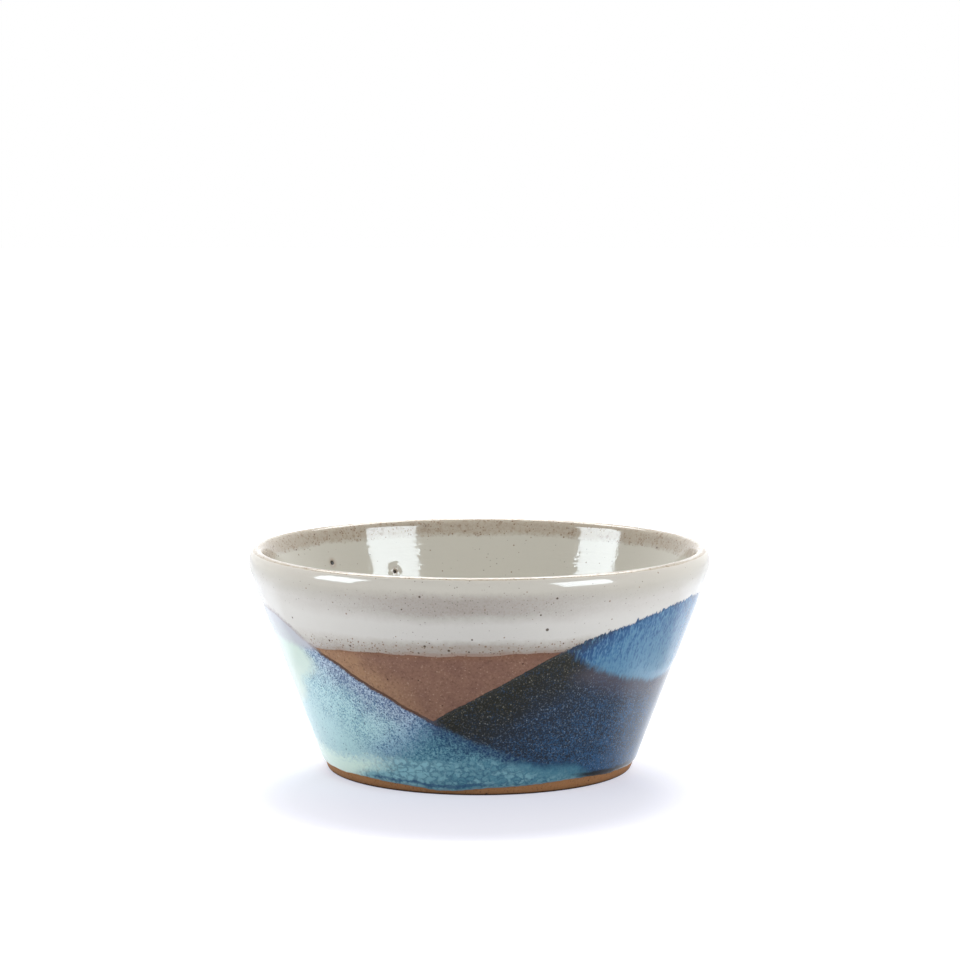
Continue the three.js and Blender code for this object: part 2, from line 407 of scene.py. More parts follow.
def turn_outline(name, outline, turns):
    """Draw an outline point by point, spin it into a sector and repeat that all round the axis."""
    clear_selection()
    bpy.ops.mesh.primitive_plane_add(size=MM)
    piece = bpy.context.active_object
    piece.name = name
    piece.data.name = name
    bpy.ops.object.mode_set(mode="EDIT")
    bpy.ops.mesh.select_mode(type="VERT")
    bpy.ops.mesh.select_all(action="SELECT")
    bpy.ops.mesh.merge(type="CENTER")
    place = Vector((0, 0, 0))
    for index, point in enumerate(outline):
        target = Vector((point.x, 0, point.y))
        if index == 0:
            bpy.ops.transform.translate(value=target - place)
        else:
            bpy.ops.mesh.extrude_region_move(TRANSFORM_OT_translate={"value": target - place})
        place = target
    bpy.ops.mesh.select_all(action="SELECT")
    about_axis = {"center": (0, 0, 0), "axis": (0, 0, 1)}
    sector = 2 * math.pi / SECTORS
    bpy.ops.mesh.spin(steps=turns // SECTORS, angle=sector, **about_axis)
    bpy.ops.mesh.select_all(action="SELECT")
    bpy.ops.mesh.spin(steps=SECTORS - 1, angle=2 * math.pi - sector, dupli=True, **about_axis)
    bpy.ops.mesh.select_all(action="SELECT")
    bpy.ops.mesh.remove_doubles(threshold=SPIN_SEAM)
    bpy.ops.mesh.normals_make_consistent(inside=False)
    bpy.ops.object.mode_set(mode="OBJECT")
    face_outwards(piece)
    return piece


def face_outwards(piece):
    """Turn the faces round if those on the outer wall look towards the axis."""
    widest = max(piece.data.polygons, key=lambda face: face.center.xy.length)
    if widest.normal.xy.dot(widest.center.xy) < 0:
        choose(piece)
        bpy.ops.object.mode_set(mode="EDIT")
        bpy.ops.mesh.select_all(action="SELECT")
        bpy.ops.mesh.flip_normals()
        bpy.ops.object.mode_set(mode="OBJECT")


def points_of(piece):
    flat = np.empty(len(piece.data.vertices) * 3)
    piece.data.vertices.foreach_get("co", flat)
    return flat.reshape(-1, 3)


def place_points(piece, points):
    piece.data.vertices.foreach_set("co", points.ravel())
    piece.data.update()


def face_centres(piece):
    flat = np.empty(len(piece.data.polygons) * 3)
    piece.data.polygons.foreach_get("center", flat)
    return flat.reshape(-1, 3)


def select_faces(piece, chosen):
    """Select the chosen faces, given as one truth value for each face."""
    choose(piece)
    bpy.ops.object.mode_set(mode="EDIT")
    bpy.ops.mesh.select_mode(type="FACE")
    bpy.ops.mesh.select_all(action="DESELECT")
    bpy.ops.object.mode_set(mode="OBJECT")
    piece.data.polygons.foreach_set("select", chosen)
    bpy.ops.object.mode_set(mode="EDIT")


def drop_faces(piece, unwanted):
    """Delete faces, and close the seams that the cuts have left."""
    select_faces(piece, unwanted)
    bpy.ops.mesh.delete(type="FACE")
    bpy.ops.mesh.select_all(action="SELECT")
    bpy.ops.mesh.remove_doubles(threshold=CUT_SEAM)
    bpy.ops.object.mode_set(mode="OBJECT")


def cut_along(line):
    """Cut what is selected along a flat glaze line."""
    across = Vector((
        -math.sin(line.tilt) * math.cos(line.towards),
        -math.sin(line.tilt) * math.sin(line.towards),
        math.cos(line.tilt),
    ))
    bpy.ops.mesh.bisect(plane_co=(0, 0, line.height), plane_no=across)


def copy_piece(piece, name):
    choose(piece)
    bpy.ops.object.duplicate()
    copy = bpy.context.active_object
    copy.name = name
    copy.data.name = name
    return copy


def remove_piece(piece):
    choose(piece)
    bpy.ops.object.delete()


def write_number(piece, name, values):
    attribute = piece.data.attributes.new(name, "FLOAT", "POINT")
    attribute.data.foreach_set("value", values.astype(np.float32))


def write_vector(piece, name, vectors):
    attribute = piece.data.attributes.new(name, "FLOAT_VECTOR", "POINT")
    attribute.data.foreach_set("vector", vectors.astype(np.float32).ravel())


def smooth(values, low, high):
    """Rises softly from 0 at low to 1 at high."""
    part = np.clip((values - low) / (high - low), 0, 1)
    return part * part * (3 - 2 * part)


def thicken(piece, weights, thickest):
    """Give a sheet of glaze its thickness, outwards, as a share of the thickest at each point."""
    group = piece.vertex_groups.new(name="coat")
    for index, weight in enumerate(weights):
        group.add([index], float(weight), "REPLACE")
    choose(piece)
    coat = piece.modifiers.new("coat", "SOLIDIFY")
    coat.thickness = thickest
    coat.offset = 1
    coat.use_rim = True
    coat.vertex_group = "coat"
    bpy.ops.object.modifier_apply(modifier="coat")
    piece.vertex_groups.clear()


def finish_piece(piece, material, node):
    choose(piece)
    bpy.ops.object.shade_smooth_by_angle(angle=SMOOTH_ANGLE)
    piece.data.materials.clear()
    piece.data.materials.append(material)
    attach(piece, "root")
    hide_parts(node)


# Where the glazes lie

# Humps round the bowl: direction and spread in degrees, and height in millimetres
FOOT_BENDS = ((-101, 17, -1.7), (-54, 13, 0.8), (20, 20, -1.3), (170, 25, 0.6))
WHITE_BENDS = ((-140, 12, -1.2), (-76, 12, 0.9))
DARK_BENDS = ((-61, 6, 1.0),)
BLUE_BENDS = ((-58, 10, 3.2),)
TEAL_TONGUE = ((-127, 8, 6),)
# The same with a strength: where the blue is held back on the white, and where the white shows bands
BLUE_HELD = ((180, 17, 1),)
BANDS = ((-95, 31, 0.8), (62, 40, 0.6))
BANDS_ELSEWHERE = 0.2
# Directions between which the dark line's climb begins and ends
CLIMB_BEGINS = (-46, -6)
CLIMB_ENDS = (25, 75)
# How far from its line, or between which depths, each of these takes hold
FOOT_REACH = 7 * MM
WHITE_REACH = 6 * MM
DARK_REACH = 13 * MM
BLUE_REACH = (-6 * MM, 4 * MM)
HELD_REACH = (1 * MM, 6 * MM)
TONGUE_REACH = (1 * MM, 4.5 * MM)
# Distances below the top of the wall between which the edges stop wandering
LIP_REST = (5 * MM, 0.5 * MM)
# How far the teal shrinks back from the dark line, and how deep in the blue that takes
TEAL_SHRINK = 3.2 * MM
TEAL_DEPTH = 14 * MM
# The pale pool on the left: direction, half widths in degrees, and the heights at which it widens
POOL_TOWARDS = -178
POOL_STEM = 6
POOL_BELLY = 19
POOL_BELLY_HEIGHTS = (20, 31)
POOL_BRIM = 8
POOL_BRIM_HEIGHTS = (28, 42)
# How little the distance on its far side counts, and the waves of its edge
POOL_FAR_SIDE = 0.42
POOL_WAVE = 2.5
POOL_WAVE_HEIGHT = 2.7
POOL_WAVE_TURNS = 5
# The pale pool along the foot: its height and the waves in it, in millimetres
LOW_POOL = 10.6
LOW_POOL_WAVE = 1.2
LOW_POOL_WAVES = 3
# How softly the two pools flow together, and how many blends away that still counts
POOL_BLEND = 4 * MM
BLEND_LIMIT = 30
# Distances that stand for a place which no dip reaches, and for one far from any line
UNREACHED = -0.1
FAR = 1
# Shares of the full thickness that are left along a line and at the foot
EDGE_SHARE = 0.12
ROLL_SHARE = 0.1
# Wandering of the glaze edges: height of the waves, and share and number of the finer ones
WAVER_GAIN = 1.4
FINE_WAVER = 0.35
FINE_WAVES = 4.3
# Directions from the top of the dark dip between which its melt thins to a tip
TIP_TURNS = (14, 38)
# Radius for measuring round the wall, in millimetres
WALL_ROUND = 60
# Way over the lip: its length for a unit of drop, and the share of it with which it leaves the crown
LIP_WAY = 1.12
CROWN_SHARE = 0.6


def glaze_line(height, tilt=0.0, towards=0.0):
    return SimpleNamespace(height=height, tilt=tilt, towards=towards)


def dip_lines(lines):
    return SimpleNamespace(
        foot=glaze_line(lines.foot_line),
        white=glaze_line(lines.white_line),
        blue=glaze_line(lines.blue_height, lines.blue_tilt, lines.blue_towards),
        dark=glaze_line(lines.dark_height, lines.dark_tilt, lines.dark_towards),
        run=glaze_line(lines.run_height, lines.run_tilt, lines.run_towards),
    )


def depth_below(points, line, wall_lean):
    """How far points on the wall lie below a glaze line, along the wall."""
    turn = np.arctan2(points[:, 1], points[:, 0]) - line.towards
    radius = np.hypot(points[:, 0], points[:, 1])
    rise = math.tan(line.tilt)
    drop = line.height + rise * radius * np.cos(turn) - points[:, 2]
    up_wall = rise * math.sin(wall_lean) * np.cos(turn) - math.cos(wall_lean)
    round_wall = -rise * np.sin(turn)
    return drop / np.hypot(up_wall, round_wall)


def turn_from(points, towards_degrees):
    """Angle round the bowl from a direction, in degrees between -180 and 180."""
    turn = np.degrees(np.arctan2(points[:, 1], points[:, 0])) - towards_degrees
    return (turn + 180) % 360 - 180


def hump(points, towards_degrees, spread_degrees):
    """1 in a direction round the bowl, falling softly to 0 on both sides."""
    return np.exp(-((turn_from(points, towards_degrees) / spread_degrees) ** 2))


def humps(points, table):
    """The sum of the humps in a table."""
    return sum(height * hump(points, towards, spread) for towards, spread, height in table)


class GlazeMap:
    """How deep each point of the wall lies inside every dip, in metres along the wall."""

    def __init__(self, points, section, lines, crown_way=None):
        dips = dip_lines(lines)
        lean = math.atan(section.slope)
        self.points = points
        self.lines = lines
        self.blue = depth_below(points, dips.blue, lean)
        self.dark = depth_below(points, dips.dark, lean)
        self.white = -depth_below(points, dips.white, lean)
        self.run = -depth_below(points, dips.run, lean)
        self.foot = -depth_below(points, dips.foot, lean)
        self.on_outside = np.ones(len(points), bool)
        if crown_way is not None:
            self.on_outside = crown_way < 0
            self.blue = np.where(self.on_outside, self.blue, UNREACHED)
            self.dark = np.where(self.on_outside, self.dark, UNREACHED)
        self.blue = self.blue + MM * humps(points, BLUE_BENDS) * smooth(-self.blue, *BLUE_REACH)
        self.teal = self.dark - TEAL_SHRINK * smooth(self.blue, 0, TEAL_DEPTH)
        self.teal += MM * humps(points, TEAL_TONGUE) * (1 - smooth(self.foot, *TONGUE_REACH))
        self.mint = self.mint_depth()

    def mint_depth(self):
        """Depth inside the pool of thick pale blue on the left and along the foot."""
        height = self.points[:, 2] / MM
        radius = np.hypot(self.points[:, 0], self.points[:, 1])
        half_width = POOL_STEM + POOL_BELLY * smooth(height, *POOL_BELLY_HEIGHTS)
        half_width += POOL_BRIM * smooth(height, *POOL_BRIM_HEIGHTS)
        turn = turn_from(self.points, POOL_TOWARDS)
        away = np.where(turn > 0, turn, -POOL_FAR_SIDE * turn)
        away += POOL_WAVE * np.sin(height / POOL_WAVE_HEIGHT + np.radians(POOL_WAVE_TURNS * turn))
        beside = np.radians(half_width - away) * radius
        waves = np.sin(np.radians(LOW_POOL_WAVES * turn_from(self.points, 0)))
        low = (LOW_POOL + LOW_POOL_WAVE * waves - height) * MM
        beside_share = np.exp(np.clip(beside / POOL_BLEND, -BLEND_LIMIT, BLEND_LIMIT))
        return POOL_BLEND * np.log(beside_share + np.exp(low / POOL_BLEND))

    def zones(self):
        """The name of the glaze at each point, or bare."""
        past_split = np.sin(np.arctan2(self.points[:, 1], self.points[:, 0]) - self.lines.blue_towards)
        blue = self.blue > 0
        dark = self.dark > 0
        white = self.white > 0
        melt = dark & ~blue & (white | (self.run > 0))
        names = np.full(len(self.points), "bare", dtype=object)
        names[~blue & ~dark & white] = "white_glaze"
        names[blue & ~dark & white] = "blue_over_white_melt"
        names[blue & ~dark & ~white] = "pale_blue_glaze"
        names[dark & ~blue] = "dark_glaze"
        names[melt] = "dark_over_white_melt"
        names[blue & dark & (past_split > 0)] = "blue_over_dark_melt_front"
        names[blue & dark & (past_split <= 0)] = "blue_over_dark_melt_back"
        names[self.foot < 0] = "bare"
        return names

    def thickness(self):
        """Thickness of the fired glaze, thin along its lines and rolled over at the foot."""
        lines = self.lines
        width = lines.melt_width
        white = np.maximum(self.white, np.where(self.dark > 0, self.run, -FAR))
        coats = smooth(self.blue, 0, width) + smooth(self.dark, 0, width) + smooth(white, 0, width)
        thick = lines.coat + lines.second_coat * np.clip(coats - 1, 0, 1)
        feather = EDGE_SHARE + (1 - EDGE_SHARE) * smooth(self.edge_depth(), 0, lines.feather)
        foot = np.where(self.on_outside, self.foot, FAR)
        part = np.clip(foot / lines.edge_roll, 0, 1)
        roll = np.maximum(np.sqrt(1 - (1 - part) ** 2), ROLL_SHARE)
        return thick * np.minimum(feather, roll)

    def edge_depth(self):
        """Distance to the nearest dip line that ends on bare clay."""
        deepest = np.maximum(np.maximum(self.blue, self.dark), self.white)
        return np.where(self.on_outside, deepest, FAR)

    def wavered(self, section):
        """The points moved along the wall, so that the glaze edges wander as they do when dipped."""
        lines = self.lines
        lean = math.atan(section.slope)
        points = self.points
        radius = np.hypot(points[:, 0], points[:, 1])
        turn = np.arctan2(points[:, 1], points[:, 0])
        wander = np.empty(len(points))
        for index, point in enumerate(points):
            place = Vector(point) / lines.waver_size
            wander[index] = noise.noise(place) + FINE_WAVER * noise.noise(place * FINE_WAVES)
        lift = WAVER_GAIN * lines.waver * wander
        near_foot = 1 - smooth(self.foot, 0, FOOT_REACH)
        lift += near_foot * (MM * humps(points, FOOT_BENDS) - lines.sag)
        near_white = 1 - smooth(np.abs(self.white), 0, WHITE_REACH)
        lift += near_white * MM * humps(points, WHITE_BENDS)
        near_dark = (1 - smooth(np.abs(self.dark), 0, DARK_REACH)) * smooth(self.white, -WHITE_REACH, 0)
        from_right = turn_from(points, 0)
        climb = smooth(from_right, *CLIMB_BEGINS) * (1 - smooth(from_right, *CLIMB_ENDS))
        lift += near_dark * (lines.dark_climb * climb + MM * humps(points, DARK_BENDS))
        rest_low, rest_high = LIP_REST
        wall_top = section.wall_top.y
        fade = 1 - smooth(points[:, 2], wall_top - rest_low, wall_top - rest_high)
        lift = np.where(self.on_outside, lift * fade, 0)
        radius = radius + lift * math.sin(lean)
        height = points[:, 2] + lift * math.cos(lean)
        return np.column_stack((radius * np.cos(turn), radius * np.sin(turn), height))

    def write(self, piece, crown_way):
        """Keep the depths on the piece in millimetres, for its finish to read."""
        held_back = self.lines.blue_hold * humps(self.points, BLUE_HELD)
        held_back *= smooth(self.white, *HELD_REACH)
        depths = {
            "blue_mm": self.blue - held_back,
            "dark_mm": self.dark,
            "white_mm": self.white,
            "run_mm": self.run,
            "teal_mm": self.teal,
            "foot_mm": self.foot,
            "mint_mm": self.mint,
            "edge_mm": self.edge_depth(),
            "crown_mm": crown_way,
        }
        for name, depth in depths.items():
            write_number(piece, name, depth / MM)
        past_middle = np.abs(turn_from(self.points, math.degrees(self.lines.dark_towards)))
        write_number(piece, "tip", smooth(past_middle, *TIP_TURNS))
        bands = BANDS_ELSEWHERE + humps(self.points, BANDS)
        write_number(piece, "bands", np.clip(bands, 0, 1))
        turn = np.arctan2(self.points[:, 1], self.points[:, 0])
        around = WALL_ROUND * np.column_stack((np.cos(turn), np.sin(turn)))
        write_vector(piece, "wall_mm", np.column_stack((around, crown_way / MM)))


def way_from_crown(points, section):
    """Distance along the surface from the crown of the lip: negative outside, positive inside."""
    radius = np.hypot(points[:, 0], points[:, 1])
    crown = section.lip_centre + Vector((0, section.form.lip_depth))
    drop = crown.y - points[:, 2]
    lip_drop = crown.y - section.wall_top.y
    outside = radius > section.lip_centre.x - (section.lip_centre.y - points[:, 2]) * section.slope
    lip_way = lip_drop * LIP_WAY
    part = np.clip(drop / lip_drop, 0, 1)
    way = np.where(
        drop < lip_drop,
        lip_way * np.sqrt(part) * (CROWN_SHARE + (1 - CROWN_SHARE) * part),
        lip_way + (drop - lip_drop) * math.hypot(1, section.slope),
    )
    return np.where(outside, -way, way)


# Finishes


def linear(channel):
    """One channel of a colour as it is seen, as light."""
    if channel <= 0.04045:
        return channel / 12.92
    return ((channel + 0.055) / 1.055) ** 2.4


def paint(shown):
    """A colour as it is seen, as the light it sends back."""
    return (linear(shown[0]), linear(shown[1]), linear(shown[2]), 1.0)


class Bench:
    """Adds and joins the nodes of one material or node group."""

    def __init__(self, tree):
        self.tree = tree

    def join(self, socket, value):
        if isinstance(value, bpy.types.NodeSocket):
            self.tree.links.new(value, socket)
        else:
            socket.default_value = value

    def node(self, kind, **settings):
        node = self.tree.nodes.new(kind)
        for name, value in settings.items():
            setattr(node, name, value)
        return node

    def math(self, operation, first, second=0.0, clamp=False):
        node = self.node("ShaderNodeMath", operation=operation, use_clamp=clamp)
        self.join(node.inputs[0], first)
        self.join(node.inputs[1], second)
        return node.outputs[0]

    def add(self, first, second):
        return self.math("ADD", first, second)

    def less(self, first, second):
        return self.math("SUBTRACT", first, second)

    def times(self, first, second):
        return self.math("MULTIPLY", first, second)

    def most(self, first, second):
        return self.math("MAXIMUM", first, second)

    def least(self, first, second):
        return self.math("MINIMUM", first, second)

    def span(self, value, low, high, start=0.0, end=1.0):
        """Moves softly from start to end while the value goes from low to high."""
        node = self.node("ShaderNodeMapRange", interpolation_type="SMOOTHSTEP")
        self.join(node.inputs["Value"], value)
        self.join(node.inputs["From Min"], low)
        self.join(node.inputs["From Max"], high)
        self.join(node.inputs["To Min"], start)
        self.join(node.inputs["To Max"], end)
        return node.outputs[0]

    def near(self, value, middle, full, none, least=0.0):
        """1 while the value lies within full of the middle, falling to the least at none."""
        away = self.math("ABSOLUTE", self.less(value, middle))
        return self.span(away, full, none, 1.0, least)

    def mix(self, part, first, second):
        node = self.node("ShaderNodeMix", data_type="RGBA")
        self.join(node.inputs[0], part)
        self.join(node.inputs[6], first)
        self.join(node.inputs[7], second)
        return node.outputs[2]

    def stretch(self, vector, factors):
        node = self.node("ShaderNodeVectorMath", operation="MULTIPLY")
        self.join(node.inputs[0], vector)
        self.join(node.inputs[1], factors)
        return node.outputs[0]

    def measured(self, place, unit):
        """A place measured in a unit."""
        node = self.node("ShaderNodeVectorMath", operation="SCALE")
        self.join(node.inputs[0], place)
        self.join(node.inputs["Scale"], self.math("DIVIDE", 1.0, unit))
        return node.outputs[0]

    def distance(self, place, centre):
        """How far a place lies from a point."""
        node = self.node("ShaderNodeVectorMath", operation="DISTANCE")
        self.join(node.inputs[0], place)
        self.join(node.inputs[1], centre)
        return node.outputs["Value"]

    def noise(self, place, size, detail=2.0, roughness=0.55):
        node = self.node("ShaderNodeTexNoise")
        self.join(node.inputs["Vector"], place)
        self.join(node.inputs["Scale"], 1 / size)
        self.join(node.inputs["Detail"], detail)
        self.join(node.inputs["Roughness"], roughness)
        return node.outputs[0]

    def cloud(self, place, size, detail, reach):
        """Noise round 0, half the reach to either side at most."""
        return self.times(self.less(self.noise(place, size, detail), 0.5), reach)

    def cells(self, place, size, feature="F1"):
        node = self.node("ShaderNodeTexVoronoi", feature=feature)
        self.join(node.inputs["Vector"], place)
        self.join(node.inputs["Scale"], 1 / size)
        return node

    def channels(self, value):
        node = self.node("ShaderNodeSeparateColor")
        self.join(node.inputs[0], value)
        return node.outputs

    def ramp(self, value, low, high, stops):
        """A colour that changes along a value through the given stops."""
        place = self.node("ShaderNodeMapRange")
        self.join(place.inputs["Value"], value)
        self.join(place.inputs["From Min"], low)
        self.join(place.inputs["From Max"], high)
        node = self.node("ShaderNodeValToRGB")
        elements = node.color_ramp.elements
        for index, (stop, shown) in enumerate(stops):
            position = (stop - low) / (high - low)
            if index < 2:
                element = elements[index]
                element.position = position
            else:
                element = elements.new(position)
            element.color = paint(shown)
        self.join(node.inputs[0], place.outputs[0])
        return node.outputs[0]

    def kept(self, name):
        """A number kept on the piece."""
        return self.node("ShaderNodeAttribute", attribute_name=name).outputs["Fac"]

    def kept_vector(self, name):
        return self.node("ShaderNodeAttribute", attribute_name=name).outputs["Vector"]

    def place(self):
        """The place on the bowl, in millimetres."""
        per_millimetre = (1 / MM, 1 / MM, 1 / MM)
        return self.stretch(self.node("ShaderNodeTexCoord").outputs["Object"], per_millimetre)

    def use(self, group, **values):
        """Place a node group and return its outputs."""
        node = self.node("ShaderNodeGroup", node_tree=group)
        for name, value in values.items():
            self.join(node.inputs[name.capitalize()], value)
        return node.outputs

    def emboss(self, shader, height, strength, depth):
        """Let a height stand out from the surface."""
        bump = self.node("ShaderNodeBump")
        bump.inputs["Strength"].default_value = strength
        bump.inputs["Distance"].default_value = depth
        self.join(bump.inputs["Height"], height)
        self.join(shader.inputs["Normal"], bump.outputs[0])


# Large iron spots on the outside: direction in degrees, height and radius in millimetres
IRON_SPOTS = (
    (-104, 66.2, 0.42), (-104, 50.1, 0.5), (-97.8, 48.9, 0.5), (-91.8, 52.6, 0.38),
    (-125.7, 48.4, 0.45), (-132.7, 49.3, 0.4), (-146, 54.7, 0.42), (-73, 55.4, 0.62),
    (-71.5, 65.5, 0.42), (-108.8, 61.9, 0.34), (-20, 67.4, 0.4), (64, 58.3, 0.5),
    (101, 63.1, 0.42), (148, 65.2, 0.46),
)
# Where a spot starts to fade and where it ends, in radii
SPOT_CORE = 0.6
SPOT_EDGE = 1.1
# The glazed wall: its radius where its line meets the table, in millimetres, and its slope
GLAZED_FOOT = 49.98
GLAZED_SLOPE = 0.375

SOCKETS = {"number": "NodeSocketFloat", "vector": "NodeSocketVector", "colour": "NodeSocketColor"}


def new_group(name, inputs, outputs):
    """An empty node group with named sockets, as a bench with its start and end."""
    tree = bpy.data.node_groups.new(name, "ShaderNodeTree")
    for label, kind in inputs.items():
        tree.interface.new_socket(label, in_out="INPUT", socket_type=SOCKETS[kind])
    for label, kind in outputs.items():
        tree.interface.new_socket(label, in_out="OUTPUT", socket_type=SOCKETS[kind])
    bench = Bench(tree)
    start = bench.node("NodeGroupInput").outputs
    end = bench.node("NodeGroupOutput").inputs
    return bench, start, end


def specks_group():
    """Scattered round specks of uneven size."""
    inputs = {"Place": "vector", "Spacing": "number", "Share": "number", "Size": "number"}
    bench, start, end = new_group("specks", inputs, {"Mask": "number"})
    cells = bench.cells(bench.measured(start["Place"], start["Spacing"]), 1.0)
    pick = bench.channels(cells.outputs["Color"])
    present = bench.math("LESS_THAN", pick[0], start["Share"])
    reach = bench.math("DIVIDE", bench.times(start["Size"], bench.add(0.45, pick[1])), start["Spacing"])
    inside = bench.span(cells.outputs["Distance"], bench.times(reach, 0.55), reach, 1.0, 0.0)
    bench.join(end["Mask"], bench.times(inside, present))
    return bench.tree


def grain_group():
    """Mottling as in a crystalline glaze: fine grains on a coarser cloud, from 0 to 1."""
    inputs = {"Place": "vector", "Size": "number", "Balance": "number", "Contrast": "number"}
    bench, start, end = new_group("grain", inputs, {"Grain": "number"})
    place = bench.measured(start["Place"], start["Size"])
    fine = bench.noise(place, 0.8, 1.0)
    coarse = bench.noise(place, 1.8, 2.0)
    cloud = bench.noise(place, 8.0, 1.0)
    blend = bench.add(bench.times(fine, 0.58), bench.times(coarse, 0.27))
    blend = bench.add(blend, bench.times(cloud, 0.15))
    centred = bench.times(bench.less(blend, 0.5), start["Contrast"])
    bench.join(end["Grain"], bench.math("ADD", centred, start["Balance"], clamp=True))
    return bench.tree


def ragged_group():
    """A soft mask that starts at depth 0, with an edge broken up by grains of two sizes."""
    inputs = {
        "Place": "vector", "Depth": "number", "Ragged": "number", "Size": "number", "Softness": "number",
    }
    bench, start, end = new_group("ragged_edge", inputs, {"Mask": "number"})
    place = bench.measured(start["Place"], start["Size"])
    break_up = bench.less(bench.noise(place, 1.0, 3.0, 0.7), 0.5)
    moved = bench.add(start["Depth"], bench.times(bench.times(break_up, 4.0), start["Ragged"]))
    half = bench.times(start["Softness"], 0.5)
    low = bench.times(half, -1.0)
    bench.join(end["Mask"], bench.span(moved, low, half))
    return bench.tree


def named_specks(bench, place):
    """The few large iron spots, each at its own place on the outside."""
    mask = 0.0
    for turn_degrees, height, radius in IRON_SPOTS:
        turn = math.radians(turn_degrees)
        reach = GLAZED_FOOT + GLAZED_SLOPE * height
        centre = (reach * math.cos(turn), reach * math.sin(turn), height)
        away = bench.distance(place, centre)
        spot = bench.span(away, SPOT_CORE * radius, SPOT_EDGE * radius, 1.0, 0.0)
        mask = bench.most(spot, mask)
    return mask


def white_look(tools, shades):
    """The white glaze over the lip: bands, iron specks, a rusty inner edge and a crown lightened as
    painted highlight.
    """
    inputs = {"Place": "vector", "Way": "number", "Bands": "number"}
    bench, start, end = new_group("white_look", inputs, {"Colour": "colour"})
    place = start["Place"]
    sway = bench.cloud(bench.stretch(place, (1, 1, 2.5)), 16.0, 2.0, 2.6)
    fine_sway = bench.cloud(place, 1.6, 3.0, 1.8)
    way = bench.add(bench.add(start["Way"], sway), fine_sway)
    # Each ramp ends at the crown in its lighter colour, partly a painted highlight
    banded = bench.ramp(way, -30, 0, [
        (-30, shades.fringe), (-26.6, shades.fringe), (-25.2, shades.low), (-23, shades.low),
        (-20.6, shades.thick), (-15.5, shades.thick), (-11, shades.thin), (-7, shades.thin),
        (-4.4, shades.lip), (-1.6, shades.lip), (0, shades.crown),
    ])
    even = bench.ramp(way, -30, 0, [
        (-30, shades.fringe), (-27, shades.fringe), (-25.8, shades.low), (-23, shades.even),
        (-10, shades.even), (-5, shades.lip), (0, shades.crown),
    ])
    outside = bench.mix(start["Bands"], even, banded)
    # The inside also starts at the crown's lighter colour, partly a painted highlight
    inside = bench.ramp(way, 0, 60, [
        (0, shades.crown), (0.6, shades.inner_band), (4.5, shades.inner_band), (6.2, shades.inside),
        (40, shades.inside),
    ])
    is_inside = bench.math("GREATER_THAN", way, 0.0)
    base = bench.mix(is_inside, outside, inside)
    tooth = bench.use(tools.grain, place=place, size=0.8, balance=0.5, contrast=1.8)[0]
    thin_part = bench.times(bench.near(way, -9.0, 2.0, 5.0, 0.15), start["Bands"])
    low_zone = bench.span(way, -20.8, -23.6)
    lip_zone = bench.near(way, 3.2, 2.2, 3.1)
    rough_part = bench.most(bench.most(thin_part, low_zone), lip_zone)
    toothed = bench.times(bench.less(0.58, tooth), bench.times(rough_part, 0.5))
    base = bench.mix(toothed, base, paint(shades.rust))
    cluster = bench.span(bench.noise(place, 4.0, 2.0), 0.4, 0.62)
    blotch = bench.times(bench.span(bench.noise(place, 1.5, 2.0), 0.5, 0.7), lip_zone)
    blotch = bench.times(blotch, bench.add(0.15, bench.times(cluster, 0.35)))
    base = bench.mix(blotch, base, paint(shades.rust))
    busy = bench.most(low_zone, bench.times(lip_zone, bench.add(0.35, cluster)))
    rust_share = bench.add(0.015, bench.times(busy, 0.55))
    rust = bench.use(tools.specks, place=place, spacing=0.85, share=rust_share, size=0.3)[0]
    base = bench.mix(bench.times(rust, 0.7), base, paint(shades.rust))
    dark_share = bench.add(0.009, bench.times(busy, 0.16))
    dark = bench.use(tools.specks, place=place, spacing=1.7, share=dark_share, size=0.36)[0]
    peppered = bench.times(thin_part, 0.5)
    pepper = bench.use(tools.specks, place=place, spacing=0.75, share=peppered, size=0.2)[0]
    base = bench.mix(bench.times(pepper, 0.5), base, paint(shades.speck))
    dark = bench.most(dark, named_specks(bench, place))
    base = bench.mix(bench.times(dark, 0.88), base, paint(shades.speck))
    bench.join(end["Colour"], base)


